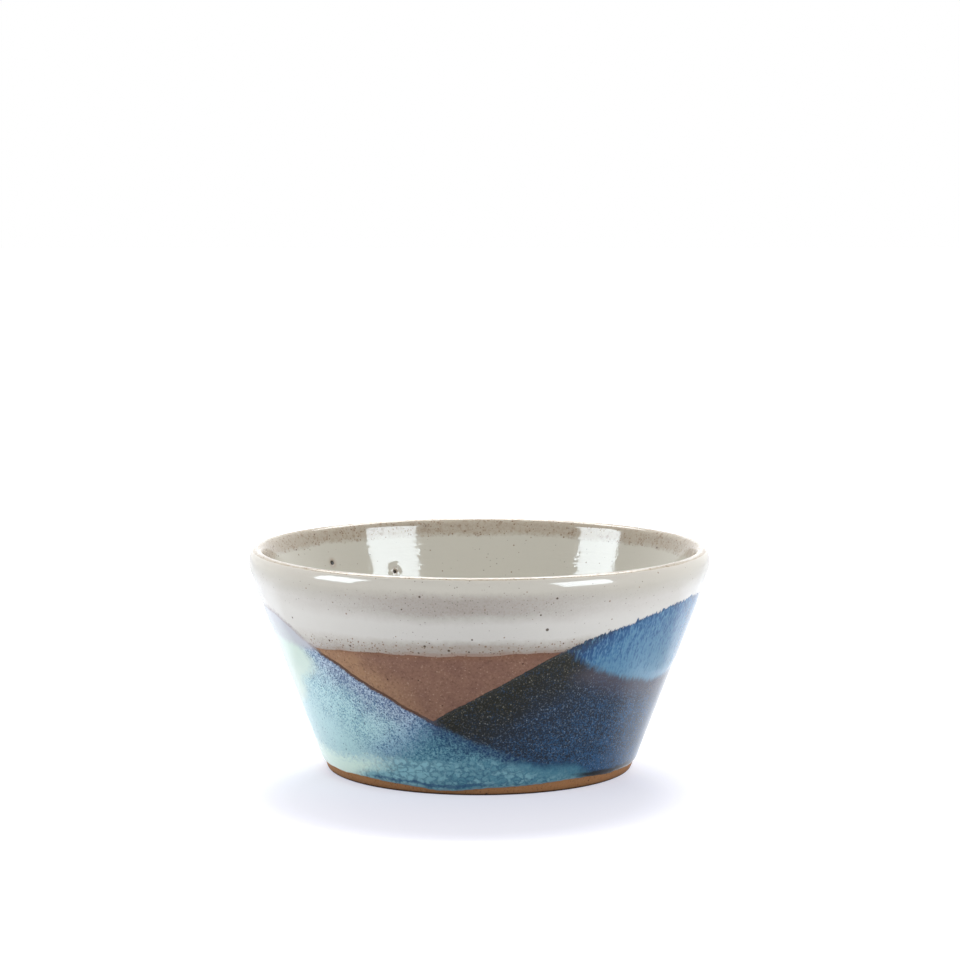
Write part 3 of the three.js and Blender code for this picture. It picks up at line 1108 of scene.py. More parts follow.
def pale_blue_look(tools, shades):
    """The pale blue glaze: dark grains near its edge, paler away from it and smooth where it pooled."""
    inputs = {
        "Place": "vector", "Depth": "number", "Dark": "number", "Mint": "number", "Foot": "number",
    }
    bench, start, end = new_group("pale_blue_look", inputs, {"Colour": "colour"})
    place = start["Place"]
    cloud = bench.cloud(place, 6.0, 3.0, 10.0)
    depth = bench.add(start["Depth"], cloud)
    far = bench.span(depth, 1.0, 16.0)
    dark_grain = bench.mix(far, paint(shades.near_dark), paint(shades.far_dark))
    light_grain = bench.mix(far, paint(shades.near_light), paint(shades.far_light))
    crossing = bench.span(start["Dark"], -8.0, 1.0, 0.0, 0.65)
    dark_grain = bench.mix(crossing, dark_grain, paint(shades.cross_dark))
    light_grain = bench.mix(crossing, light_grain, paint(shades.cross_light))
    balance = bench.span(depth, 0.0, 18.0, 0.5, 0.7)
    grain = bench.use(tools.grain, place=place, size=0.62, balance=balance, contrast=5.4)[0]
    base = bench.mix(grain, dark_grain, light_grain)
    base = bench.mix(bench.times(bench.span(depth, 19.0, 30.0), 0.7), base, paint(shades.far_light))
    share = bench.span(depth, 0.0, 26.0, 0.6, 0.2)
    specks = bench.use(tools.specks, place=place, spacing=0.78, share=share, size=0.26)[0]
    specks = bench.times(specks, bench.span(depth, 6.0, 30.0, 0.9, 0.6))
    base = bench.mix(specks, base, paint(shades.speck))
    softness = bench.span(start["Foot"], 8.0, 18.0, 5.0, 10.0)
    pool = bench.use(
        tools.ragged, place=place, depth=start["Mint"], ragged=2.0, size=1.4, softness=softness
    )[0]
    pooled = bench.mix(bench.span(start["Foot"], 17.0, 7.0), paint(shades.mint), paint(shades.mint_low))
    pale = bench.mix(bench.times(grain, 0.12), pooled, paint(shades.far_light))
    base = bench.mix(pool, base, pale)
    wobble = bench.cloud(place, 1.2, 2.0, 1.0)
    edge = bench.span(bench.add(start["Depth"], wobble), 0.55, 1.35, 1.0, 0.0)
    bench.join(end["Colour"], bench.mix(edge, base, paint(shades.edge)))


def dark_look(tools, shades):
    """The dark glaze: olive black with gold specks at its edge, blue bloom deeper in."""
    inputs = {"Place": "vector", "Depth": "number", "Foot": "number"}
    bench, start, end = new_group("dark_look", inputs, {"Colour": "colour"})
    place = start["Place"]
    cloud = bench.cloud(place, 7.0, 2.0, 14.0)
    depth = bench.add(start["Depth"], cloud)
    far = bench.span(depth, 3.0, 20.0)
    base = bench.mix(far, paint(shades.olive), paint(shades.navy))
    low = bench.span(start["Foot"], 10.0, 2.0, 0.0, 0.46)
    balance = bench.add(bench.span(depth, 7.0, 44.0, -0.08, 0.44), low)
    contrast = bench.span(depth, 12.0, 34.0, 2.6, 6.4)
    bloom = bench.use(tools.grain, place=place, size=0.54, balance=balance, contrast=contrast)[0]
    base = bench.mix(bloom, base, paint(shades.blue))
    speck = bench.mix(far, paint(shades.gold_speck), paint(shades.pale_speck))
    salt = bench.span(bench.noise(place, 0.56, 1.0, 0.6), 0.52, 0.74)
    base = bench.mix(bench.times(salt, bench.span(depth, 0.0, 26.0, 0.3, 0.36)), base, speck)
    fine = bench.use(tools.specks, place=place, spacing=0.8, share=0.3, size=0.22)[0]
    base = bench.mix(bench.times(fine, 0.65), base, speck)
    bench.join(end["Colour"], base)


def melt_look(tools, shades):
    """Dark glaze melted into white: a blue that has run down the wall in short strokes."""
    inputs = {"Place": "vector", "Wall": "vector", "Depth": "number", "Run": "number", "Tip": "number"}
    bench, start, end = new_group("dark_on_white_look", inputs, {"Colour": "colour"})
    streak = bench.noise(bench.stretch(start["Wall"], (1.5, 1.5, 0.4)), 1.1, 3.0, 0.6)
    fine = bench.noise(bench.stretch(start["Wall"], (1.0, 1.0, 0.5)), 0.55, 2.0)
    mottle = bench.add(bench.times(streak, 0.6), bench.times(fine, 0.4))
    depth = bench.add(start["Depth"], bench.times(bench.less(mottle, 0.5), 9.0))
    depth = bench.less(depth, bench.times(start["Tip"], 7.0))
    base = bench.ramp(depth, -8, 24, [
        (-8, shades.melt_edge), (-4.5, shades.melt_edge), (-1.5, shades.melt_deep), (3.4, shades.melt),
        (21, shades.melt_pale),
    ])
    pale = bench.span(mottle, 0.48, 0.61)
    strength = bench.span(start["Depth"], 5.0, 16.0, 1.0, 0.6)
    pale = bench.times(pale, bench.times(strength, 0.6))
    base = bench.mix(pale, base, paint(shades.melt_pale))
    deep = bench.span(mottle, 0.5, 0.39)
    deep = bench.times(deep, bench.times(strength, 0.75))
    base = bench.mix(deep, base, paint(shades.melt_deep))
    rim_depth = bench.add(start["Depth"], bench.times(bench.less(mottle, 0.5), 2.0))
    rim = bench.span(rim_depth, 0.3, 1.1, bench.span(start["Tip"], 0.0, 1.0, 0.25, 0.75), 0.0)
    base = bench.mix(rim, base, paint(shades.melt_edge))
    low = bench.span(start["Run"], 6.0, 0.5)
    low = bench.times(low, bench.span(start["Depth"], 5.0, 12.0))
    bench.join(end["Colour"], bench.mix(bench.times(low, 0.3), base, paint(shades.melt_pale)))


def crackle(bench, place, size):
    """Warped cells with lines between them: a mask of the lines and a random share for each cell."""
    shift = bench.node("ShaderNodeTexNoise")
    bench.join(shift.inputs["Vector"], place)
    bench.join(shift.inputs["Scale"], 0.7)
    warp = bench.node("ShaderNodeVectorMath", operation="MULTIPLY_ADD")
    bench.join(warp.inputs[0], shift.outputs["Color"])
    bench.join(warp.inputs[1], (2.2, 2.2, 2.2))
    bench.join(warp.inputs[2], place)
    flat = bench.stretch(warp.outputs[0], (1.0, 1.0, 1.5))
    lines = bench.cells(flat, size, "DISTANCE_TO_EDGE").outputs["Distance"]
    pick = bench.channels(bench.cells(flat, size).outputs["Color"])[0]
    return bench.span(lines, 0.02, 0.24, 1.0, 0.0), pick


def teal_look(tools, shades):
    """Pale blue melted into dark: deep and speckled at its edges, crackled near the foot."""
    inputs = {"Place": "vector", "Blue": "number", "Dark": "number", "Foot": "number"}
    bench, start, end = new_group("blue_on_dark_look", inputs, {"Colour": "colour"})
    place = start["Place"]
    cloud = bench.cloud(place, 4.0, 3.0, 6.0)
    depth = bench.add(bench.least(start["Blue"], bench.add(start["Dark"], 8.0)), cloud)
    depth = bench.add(depth, bench.span(start["Foot"], 12.0, 3.0, 0.0, 4.0))
    base = bench.mix(bench.span(depth, 0.5, 7.0), paint(shades.teal_deep), paint(shades.teal))
    grain = bench.use(tools.grain, place=place, size=0.72, balance=0.5, contrast=4.2)[0]
    wobble = bench.cloud(place, 3.0, 2.0, 3.6)
    foot = bench.add(start["Foot"], wobble)
    speckled = bench.span(foot, 7.6, 9.6, 0.22, 1.0)
    pale_share = bench.times(speckled, bench.span(depth, 1.0, 9.0, 0.3, 0.6))
    base = bench.mix(bench.times(grain, pale_share), base, paint(shades.teal_pale))
    dark_share = bench.times(speckled, bench.span(depth, 1.0, 11.0, 0.75, 0.5))
    base = bench.mix(bench.times(bench.less(1.0, grain), dark_share), base, paint(shades.teal_deep))
    lines, pick = crackle(bench, place, 2.4)
    lines = bench.times(lines, bench.span(bench.noise(place, 2.2, 2.0), 0.32, 0.52))
    low = bench.times(bench.span(foot, 9.4, 7.6), bench.span(start["Blue"], 0.5, 5.0))
    paleness = bench.span(pick, 0.15, 0.85, 0.22, 0.76)
    paleness = bench.times(paleness, bench.span(grain, 0.0, 1.0, 0.7, 1.0))
    paleness = bench.most(paleness, bench.span(start["Dark"], 19.0, 7.0, 0.0, 0.95))
    base = bench.mix(bench.times(low, paleness), base, paint(shades.teal_pale))
    base = bench.mix(bench.times(low, bench.times(lines, 0.55)), base, paint(shades.teal_crack))
    near_foot = bench.add(start["Foot"], bench.times(wobble, 0.5))
    line = bench.near(near_foot, 1.6, 0.15, 0.65)
    line = bench.times(line, bench.span(start["Blue"], 7.0, 14.0, 0.0, 0.7))
    line = bench.times(line, bench.span(start["Dark"], 3.0, 10.0, 0.2, 1.0))
    base = bench.mix(line, base, paint(shades.teal_line))
    bead = bench.span(near_foot, 1.0, 0.5)
    bench.join(end["Colour"], bench.mix(bench.times(bead, 0.6), base, paint(shades.bead)))


def relief_group():
    """The gentle unevenness of a fired glaze, as a height."""
    inputs = {"Place": "vector", "Wall": "vector", "Rings": "number"}
    bench, start, end = new_group("glaze_relief", inputs, {"Height": "number"})
    swell = bench.noise(start["Place"], 9.0, 1.0)
    peel = bench.noise(start["Place"], 1.7, 1.0)
    rings = bench.noise(bench.stretch(start["Wall"], (0.03, 0.03, 1.0)), 1.3, 1.0, 0.6)
    chatter = bench.noise(bench.stretch(start["Wall"], (0.6, 0.6, 1.0)), 1.2, 1.0, 0.6)
    height = bench.add(bench.times(swell, 0.7), bench.times(peel, 0.1))
    thrown = bench.times(bench.add(rings, chatter), start["Rings"])
    bench.join(end["Height"], bench.add(height, thrown))
    return bench.tree


def make_looks(scene):
    """Make the node groups that the finishes share."""
    tools = SimpleNamespace()
    tools.specks = specks_group()
    tools.grain = grain_group()
    tools.ragged = ragged_group()
    tools.relief = relief_group()
    white_look(tools, scene.bowl_white)
    pale_blue_look(tools, scene.bowl_blue)
    for look in (dark_look, melt_look, teal_look):
        look(tools, scene.bowl_dark)


SHARED_GROUPS = {
    "specks": "specks", "grain": "grain", "ragged": "ragged_edge", "relief": "glaze_relief",
}
LOOK_GROUPS = {
    "white": "white_look", "blue": "pale_blue_look", "dark": "dark_look", "melt": "dark_on_white_look",
    "teal": "blue_on_dark_look",
}


def group_tools(scene):
    """The shared node groups, made the first time that a finish asks for them."""
    if "specks" not in bpy.data.node_groups:
        make_looks(scene)
    groups = bpy.data.node_groups
    tools = SimpleNamespace(**{name: groups[kept] for name, kept in SHARED_GROUPS.items()})
    looks = SimpleNamespace(**{name: groups[kept] for name, kept in LOOK_GROUPS.items()})
    return tools, looks


def new_material(name):
    """An empty material, as a bench with its shader."""
    material = bpy.data.materials.new(name)
    material.use_nodes = True
    bench = Bench(material.node_tree)
    shader = material.node_tree.nodes["Principled BSDF"]
    return material, bench, shader


def glaze_material(name, scene, colour_of, rings=0.0, roughness=0.07):
    """A glossy glaze whose colour comes from the looks and the depths kept on the piece."""
    tools, looks = group_tools(scene)
    material, bench, shader = new_material(name)
    place = bench.place()
    wall = bench.kept_vector("wall_mm")
    bench.join(shader.inputs["Base Color"], colour_of(bench, tools, looks, place, wall))
    shader.inputs["IOR"].default_value = 1.5
    shader.inputs["Specular IOR Level"].default_value = 0.45
    uneven = bench.noise(place, 5.0, 2.0)
    gloss = bench.span(uneven, 0.3, 0.7, roughness * 0.7, roughness * 1.3)
    dry_edge = bench.span(bench.kept("edge_mm"), 0.2, 1.2, 0.45, 0.0)
    bench.join(shader.inputs["Roughness"], bench.most(gloss, dry_edge))
    crown = bench.kept("crown_mm")
    on_wall = bench.times(bench.span(crown, 3.0, 7.0), bench.span(crown, 62.0, 48.0))
    thrown = bench.times(on_wall, rings)
    relief = bench.use(tools.relief, place=place, wall=wall, rings=thrown)[0]
    bench.emboss(shader, relief, 0.35, 0.2 * MM)
    return material


def wall_colours(bench, tools, looks, place, wall):
    """The looks of every glaze on the wall, each at this place."""
    blue = bench.kept("blue_mm")
    dark = bench.kept("dark_mm")
    run = bench.kept("run_mm")
    foot = bench.kept("foot_mm")
    crown = bench.kept("crown_mm")
    mint = bench.kept("mint_mm")
    tip = bench.kept("tip")
    return SimpleNamespace(
        white=bench.use(looks.white, place=place, way=crown, bands=bench.kept("bands"))[0],
        blue=bench.use(looks.blue, place=place, depth=blue, dark=dark, mint=mint, foot=foot)[0],
        dark=bench.use(looks.dark, place=place, depth=dark, foot=foot)[0],
        melt=bench.use(looks.melt, place=place, wall=wall, depth=dark, run=run, tip=tip)[0],
        teal=bench.use(looks.teal, place=place, blue=blue, dark=bench.kept("teal_mm"), foot=foot)[0],
    )


def all_glazes(scene):
    """A colour for any place on the wall, so that neighbours run into each other without a seam."""
    on_white = paint(scene.bowl_blue.on_white)
    stain = paint(scene.bowl_blue.stain)
    pit_shade = paint(scene.bowl_white.pit_shade)
    halo = paint(scene.bowl_white.halo)
    smoke = paint(scene.bowl_dark.smoke)
    rim = paint(scene.bowl_dark.rim)

    def colour_of(bench, tools, looks, place, wall):
        looks_here = wall_colours(bench, tools, looks, place, wall)
        blue = bench.kept("blue_mm")
        dark = bench.kept("dark_mm")
        white = bench.kept("white_mm")
        run = bench.kept("run_mm")
        streaks = bench.stretch(wall, (1.0, 1.0, 0.3))

        def past(depth, along, ragged, size, softness):
            """1 where a place lies past a ragged edge, 0 before it."""
            return bench.use(
                tools.ragged, place=along, depth=depth, ragged=ragged, size=size, softness=softness
            )[0]

        in_melt = past(run, streaks, ragged=1.0, size=0.9, softness=3.0)
        in_white = past(white, streaks, ragged=0.5, size=1.0, softness=3.0)
        at_foot = bench.times(bench.span(bench.kept("foot_mm"), 2.5, 1.5), 0.92)
        hazy = bench.times(bench.span(run, -10.0, -1.0, 0.0, 0.6), bench.span(dark, 5.0, 13.0))
        smoky = bench.mix(hazy, looks_here.dark, smoke)
        dark_side = bench.mix(bench.most(in_melt, in_white), smoky, looks_here.melt)
        in_dark = past(dark, streaks, ragged=1.0, size=0.95, softness=0.6)
        on_clay = bench.times(bench.span(white, 1.0, -1.0), bench.span(dark, -2.0, -0.5))
        in_dark = bench.most(in_dark, on_clay)
        upper = bench.mix(in_dark, looks_here.white, dark_side)
        teal = bench.kept("teal_mm")
        on_dark = past(teal, place, ragged=1.8, size=1.0, softness=10.0)
        grain = bench.use(tools.grain, place=place, size=0.9, balance=0.5, contrast=2.4)[0]
        stained = bench.times(bench.near(blue, 0.0, 0.3, 1.3), grain)
        deeper = bench.span(blue, 2.0, 7.0, 0.05, 0.4)
        deeper = bench.add(deeper, bench.span(blue, 8.0, 22.0, 0.0, 0.4))
        over_white = bench.mix(bench.times(grain, deeper), on_white, looks_here.blue)
        over_white = bench.mix(stained, over_white, stain)
        above = bench.add(white, 1.1)
        in_pale = past(above, place, ragged=0.6, size=2.4, softness=3.4)
        pale_side = bench.mix(in_pale, looks_here.blue, over_white)
        lower = bench.mix(on_dark, pale_side, looks_here.teal)
        in_blue = past(blue, place, ragged=0.7, size=1.2, softness=2.2)
        on_clay = bench.span(bench.most(dark, white), 1.5, -0.5)
        on_clay = bench.times(on_clay, bench.span(blue, -2.0, -0.5))
        in_blue = bench.most(in_blue, on_clay)
        base = bench.mix(in_blue, upper, lower)
        bare_dark = bench.times(bench.span(blue, 3.4, 0.8), bench.span(dark, 0.0, 2.0))
        base = bench.mix(bench.times(at_foot, bare_dark), base, rim)
        base = bench.mix(bench.times(bench.kept("halo"), 0.4), base, halo)
        # Painted shade: the bottom of each pinhole darkened to near black
        return bench.mix(bench.span(bench.kept("pit_shade"), 0.3, 0.65, 0.0, 0.97), base, pit_shade)

    return colour_of


def clay_material(scene):
    """Bare stoneware: mottled, gritty, flashed orange beside the glaze, with painted shade at the foot's
    edge.
    """
    shades = scene.bowl_clay
    tools, _ = group_tools(scene)
    material, bench, shader = new_material("bare_stoneware")
    place = bench.place()
    mottle = bench.noise(place, 5.0, 4.0, 0.65)
    base = bench.mix(bench.span(mottle, 0.35, 0.7), paint(shades.body), paint(shades.shade))
    flash = bench.span(bench.kept("flash"), 0.0, 1.0)
    flash = bench.times(flash, bench.span(mottle, 0.75, 0.25, 0.5, 1.0))
    base = bench.mix(flash, base, paint(shades.flash))
    base = bench.mix(bench.kept("foot"), base, paint(shades.foot))
    base = bench.mix(bench.kept("fringe"), base, paint(shades.fringe))
    fine = bench.noise(place, 0.75, 2.0, 0.7)
    base = bench.mix(bench.span(fine, 0.47, 0.28, 0.0, 0.45), base, paint(shades.iron))
    base = bench.mix(bench.span(fine, 0.56, 0.76, 0.0, 0.5), base, paint(shades.grog))
    grog = bench.use(tools.specks, place=place, spacing=1.1, share=0.32, size=0.25)[0]
    base = bench.mix(bench.times(grog, 0.45), base, paint(shades.grog))
    iron = bench.use(tools.specks, place=place, spacing=1.9, share=0.2, size=0.34)[0]
    base = bench.mix(bench.times(iron, 0.8), base, paint(shades.iron))
    # Painted shade along the bottom edge of the foot, where it meets the table
    base = bench.mix(bench.times(bench.kept("contact_shade"), 0.92), base, paint(shades.contact_shade))
    bench.join(shader.inputs["Base Color"], base)
    bench.join(shader.inputs["Roughness"], bench.span(fine, 0.3, 0.7, 0.7, 0.85))
    shader.inputs["Specular IOR Level"].default_value = 0.15
    bench.emboss(shader, fine, 0.6, 0.12 * MM)
    return material


# The pieces

# Sizes of the faces along each outline
CLAY_STEPS = SimpleNamespace(underside=0.45 * MM, wall=1.2 * MM, lip=0.7 * MM, inside=2.5 * MM)
WHITE_STEPS = SimpleNamespace(wall=0.7 * MM, lip=0.5 * MM, inside=1.4 * MM)
# How far each sheet starts below its lowest line, and where the wall's sheet ends on the lip
SHEET_MARGIN = 1.5 * MM
WHITE_MARGIN = 3 * MM
SHEET_LIP_TURN = 1.25
# Marks on the clay, in degrees and millimetres, among them the painted shade along the bottom of the
# foot
FLASH = ((-135, 27, 1),)
FLASH_DEPTHS = (-16, -1)
FOOT_CLAY_HEIGHTS = (4, 7)
CONTACT_SHADE_HEIGHTS = (0.45, 1.0)
CONTACT_SHADE_WIDTHS = (2.5 * MM, 1 * MM)
FRINGE_DEPTHS = (-2.2, -0.2)
FRINGE_SHARE = 0.5
# Pinholes inside the bowl: place, radius and height of the swelling round it, in millimetres
PITS = (((-49.7, 43.3, 60.4), 1.15, 0.1), ((-29, 57, 55.4), 0.95, 0.62))
# Finer faces round the pinholes: reach in millimetres and number of cuts
PIT_FACES = ((7.5, 2), (2.4, 2))
# Widths in radii of a pinhole: the hole from floor to edge, which also bounds its painted shade, the
# swelling, and the stain
PIT_HOLE = (0.45, 1.2)
PIT_SWELLING = 3.0
PIT_STAIN = (0.8, 2.2)
PIT_DEPTH = 0.9
# Second coats that the white may gain where it has swollen
SWOLLEN_COATS = 3


def cut_wall(section, form, lines):
    """The outer wall as a thin sheet, set off from the clay and cut along every glaze line."""
    low = lines.foot_line - SHEET_MARGIN
    outline = section.wall(low, form.wall_step)
    outline += section.lip(section.outside_touch, SHEET_LIP_TURN, form.wall_step)
    sheet = turn_outline("wall_sheet", set_off(outline, lines.bond), form.wall_turns)
    choose(sheet)
    bpy.ops.object.mode_set(mode="EDIT")
    bpy.ops.mesh.select_all(action="SELECT")
    dips = dip_lines(lines)
    for line in (dips.foot, dips.white, dips.blue, dips.dark, dips.run):
        cut_along(line)
        bpy.ops.mesh.select_all(action="SELECT")
    bpy.ops.object.mode_set(mode="OBJECT")
    return sheet


def lay_glaze(scene, sheet, zone, material):
    """Keep one glaze's part of the wall sheet and give it its thickness."""
    section = Section(scene.bowl_form)
    lines = scene.bowl_lines
    piece = copy_piece(sheet, zone.replace("_glaze", "_coat").replace("_melt", "_run"))
    others = GlazeMap(face_centres(piece), section, lines).zones() != zone
    drop_faces(piece, others)
    points = points_of(piece)
    glaze = GlazeMap(points, section, lines)
    glaze.write(piece, way_from_crown(points, section))
    thickness = glaze.thickness()
    thickest = lines.coat + lines.second_coat
    place_points(piece, glaze.wavered(section))
    thicken(piece, thickness / thickest, thickest)
    finish_piece(piece, material, zone)


def wall_sheet(scene):
    sheet = bpy.data.objects.get("wall_sheet")
    if sheet is None:
        sheet = cut_wall(Section(scene.bowl_form), scene.bowl_form, scene.bowl_lines)
    return sheet


def pit_distances(points):
    """For each pinhole, every point's distance from it, its radius and its swelling."""
    return [
        (np.linalg.norm(points / MM - np.array(centre), axis=1), radius, mound)
        for centre, radius, mound in PITS
    ]


def refine_pits(piece):
    """Make the faces round the pinholes smaller, so that the holes come out round."""
    for reach, cuts in PIT_FACES:
        near = np.zeros(len(piece.data.polygons), bool)
        for distance, _, _ in pit_distances(face_centres(piece)):
            near |= distance < reach
        select_faces(piece, near)
        bpy.ops.mesh.subdivide(number_cuts=cuts)
        bpy.ops.object.mode_set(mode="OBJECT")


def pitted(points, thickness):
    """The thickness with pinholes in it, their depth, which also masks their painted shade, and the
    stain round them.
    """
    hollow = np.zeros(len(points))
    swell = np.zeros(len(points))
    halo = np.zeros(len(points))
    for distance, radius, mound in pit_distances(points):
        radii = distance / radius
        hollow = np.maximum(hollow, 1 - smooth(radii, *PIT_HOLE))
        swell = np.maximum(swell, mound * np.exp(-((radii / PIT_SWELLING) ** 2)))
        halo = np.maximum(halo, 1 - smooth(radii, *PIT_STAIN))
    return (thickness + swell * MM) * (1 - PIT_DEPTH * hollow), hollow, halo


class BOWL_OT_throw_clay(bpy.types.Operator):
    """Throw and trim the clay body"""

    bl_idname = "bowl.throw_clay"
    bl_label = "Throw the clay"

    def execute(self, context):
        scene = context.scene
        form = scene.bowl_form
        section = Section(form)
        outline = section.underside(CLAY_STEPS.underside)
        outline += section.wall(form.foot_rounding, CLAY_STEPS.wall)
        outline += section.lip(section.outside_touch, section.inside_touch, CLAY_STEPS.lip)
        outline += section.inside(CLAY_STEPS.inside)
        piece = turn_outline("thrown_clay", outline, form.clay_turns)
        points = points_of(piece)
        glaze = GlazeMap(points, section, scene.bowl_lines)
        height = points[:, 2] / MM
        flash = humps(points, FLASH) * smooth(glaze.blue / MM, *FLASH_DEPTHS)
        write_number(piece, "flash", flash)
        write_number(piece, "foot", 1 - smooth(height, *FOOT_CLAY_HEIGHTS))
        # Where the foot meets the table, its edge gets painted shade
        radius = np.hypot(points[:, 0], points[:, 1])
        from_edge = section.foot_edge.x - radius
        at_edge = smooth(from_edge, *CONTACT_SHADE_WIDTHS)
        write_number(piece, "contact_shade", at_edge * (1 - smooth(height, *CONTACT_SHADE_HEIGHTS)))
        write_number(piece, "fringe", FRINGE_SHARE * smooth(glaze.white / MM, *FRINGE_DEPTHS))
        finish_piece(piece, clay_material(scene), "clay_body")
        return {"FINISHED"}


class BOWL_OT_lay_white(bpy.types.Operator):
    """Line the bowl with white glaze, over the lip and down to the white line"""

    bl_idname = "bowl.lay_white"
    bl_label = "Lay the white glaze"

    def execute(self, context):
        scene = context.scene
        form = scene.bowl_form
        lines = scene.bowl_lines
        section = Section(form)
        outline = section.wall(lines.white_line - WHITE_MARGIN, WHITE_STEPS.wall)
        outline += section.lip(section.outside_touch, section.inside_touch, WHITE_STEPS.lip)
        outline += section.inside(WHITE_STEPS.inside)
        piece = turn_outline("white_coat", set_off(outline, lines.bond), form.white_turns)
        refine_pits(piece)
        dips = dip_lines(lines)
        for line in (dips.white, dips.blue, dips.dark):
            select_faces(piece, way_from_crown(face_centres(piece), section) < 0)
            cut_along(line)
            bpy.ops.object.mode_set(mode="OBJECT")
        centres = face_centres(piece)
        crown_way = way_from_crown(centres, section)
        zones = GlazeMap(centres, section, lines, crown_way).zones()
        drop_faces(piece, (crown_way < 0) & (zones != "white_glaze"))
        points = points_of(piece)
        crown_way = way_from_crown(points, section)
        glaze = GlazeMap(points, section, lines, crown_way)
        glaze.write(piece, crown_way)
        thickest = lines.coat + SWOLLEN_COATS * lines.second_coat
        thickness, hollow, halo = pitted(points, glaze.thickness())
        # The pinholes' depth also marks where their bottom is painted dark as shade
        write_number(piece, "pit_shade", hollow)
        write_number(piece, "halo", halo)
        place_points(piece, glaze.wavered(section))
        thicken(piece, thickness / thickest, thickest)
        material = glaze_material("white_glaze_finish", scene, all_glazes(scene), rings=0.55)
        finish_piece(piece, material, "white_glaze")
        return {"FINISHED"}


class BOWL_OT_lay_pale_blue(bpy.types.Operator):
    """Lay the pale blue glaze on the lower left of the wall"""

    bl_idname = "bowl.lay_pale_blue"
    bl_label = "Lay the pale blue glaze"

    def execute(self, context):
        scene = context.scene
        material = glaze_material("pale_blue_finish", scene, all_glazes(scene), roughness=0.1)
        lay_glaze(scene, wall_sheet(scene), "pale_blue_glaze", material)
        return {"FINISHED"}


class BOWL_OT_lay_dark(bpy.types.Operator):
    """Lay the dark glaze on the right of the wall"""

    bl_idname = "bowl.lay_dark"
    bl_label = "Lay the dark glaze"

    def execute(self, context):
        scene = context.scene
        material = glaze_material("dark_finish", scene, all_glazes(scene))
        lay_glaze(scene, wall_sheet(scene), "dark_glaze", material)
        return {"FINISHED"}


class BOWL_OT_lay_melts(bpy.types.Operator):
    """Lay the places where two glazes overlap and have melted together"""

    bl_idname = "bowl.lay_melts"
    bl_label = "Lay the overlaps"

    def execute(self, context):
        scene = context.scene
        sheet = wall_sheet(scene)
        dark_on_white = glaze_material("dark_on_white_finish", scene, all_glazes(scene))
        lay_glaze(scene, sheet, "dark_over_white_melt", dark_on_white)
        blue_on_white = glaze_material("blue_on_white_finish", scene, all_glazes(scene), roughness=0.1)
        lay_glaze(scene, sheet, "blue_over_white_melt", blue_on_white)
        blue_on_dark = glaze_material("blue_on_dark_finish", scene, all_glazes(scene))
        for zone in ("blue_over_dark_melt_front", "blue_over_dark_melt_back"):
            lay_glaze(scene, sheet, zone, blue_on_dark)
        remove_piece(sheet)
        return {"FINISHED"}


# The studio

# The top lamp's mirror image hangs just below the lamp, at this share of its distance
GLEAM_SHARE = 0.97
# Stretches of the floor in millimetres over which a glow grows: in mirror images to the sides, ahead
# and behind, beside the bowl, round its shadow, and far off
SWEEP_SIDES = (95, 125)
SWEEP_AHEAD = (90, 30)
SWEEP_BEHIND = (-40, -10)
SWEEP_LEFT_OVER = 0.2
BOUNCE_SIDES = (70, 300)
SHADOW_EDGE = (52, 80)
FAR_FLOOR = (100, 600)


def aim(thing, target):
    thing.rotation_euler = (Vector(target) - thing.location).to_track_quat("-Z", "Y").to_euler()


def lamp_place(turn, lift, distance):
    """A place at a distance, turned round from the camera's side and lifted above the table."""
    level = distance * math.cos(lift)
    return (level * math.sin(turn), -level * math.cos(turn), distance * math.sin(lift))


def soft_lamp(name, place, target, width, height, power):
    clear_selection()
    bpy.ops.object.light_add(type="AREA", location=place)
    lamp = bpy.context.active_object
    lamp.name = name
    lamp.data.shape = "RECTANGLE"
    lamp.data.size = width
    lamp.data.size_y = height
    lamp.data.energy = power
    lamp.visible_camera = False
    aim(lamp, target)
    return lamp


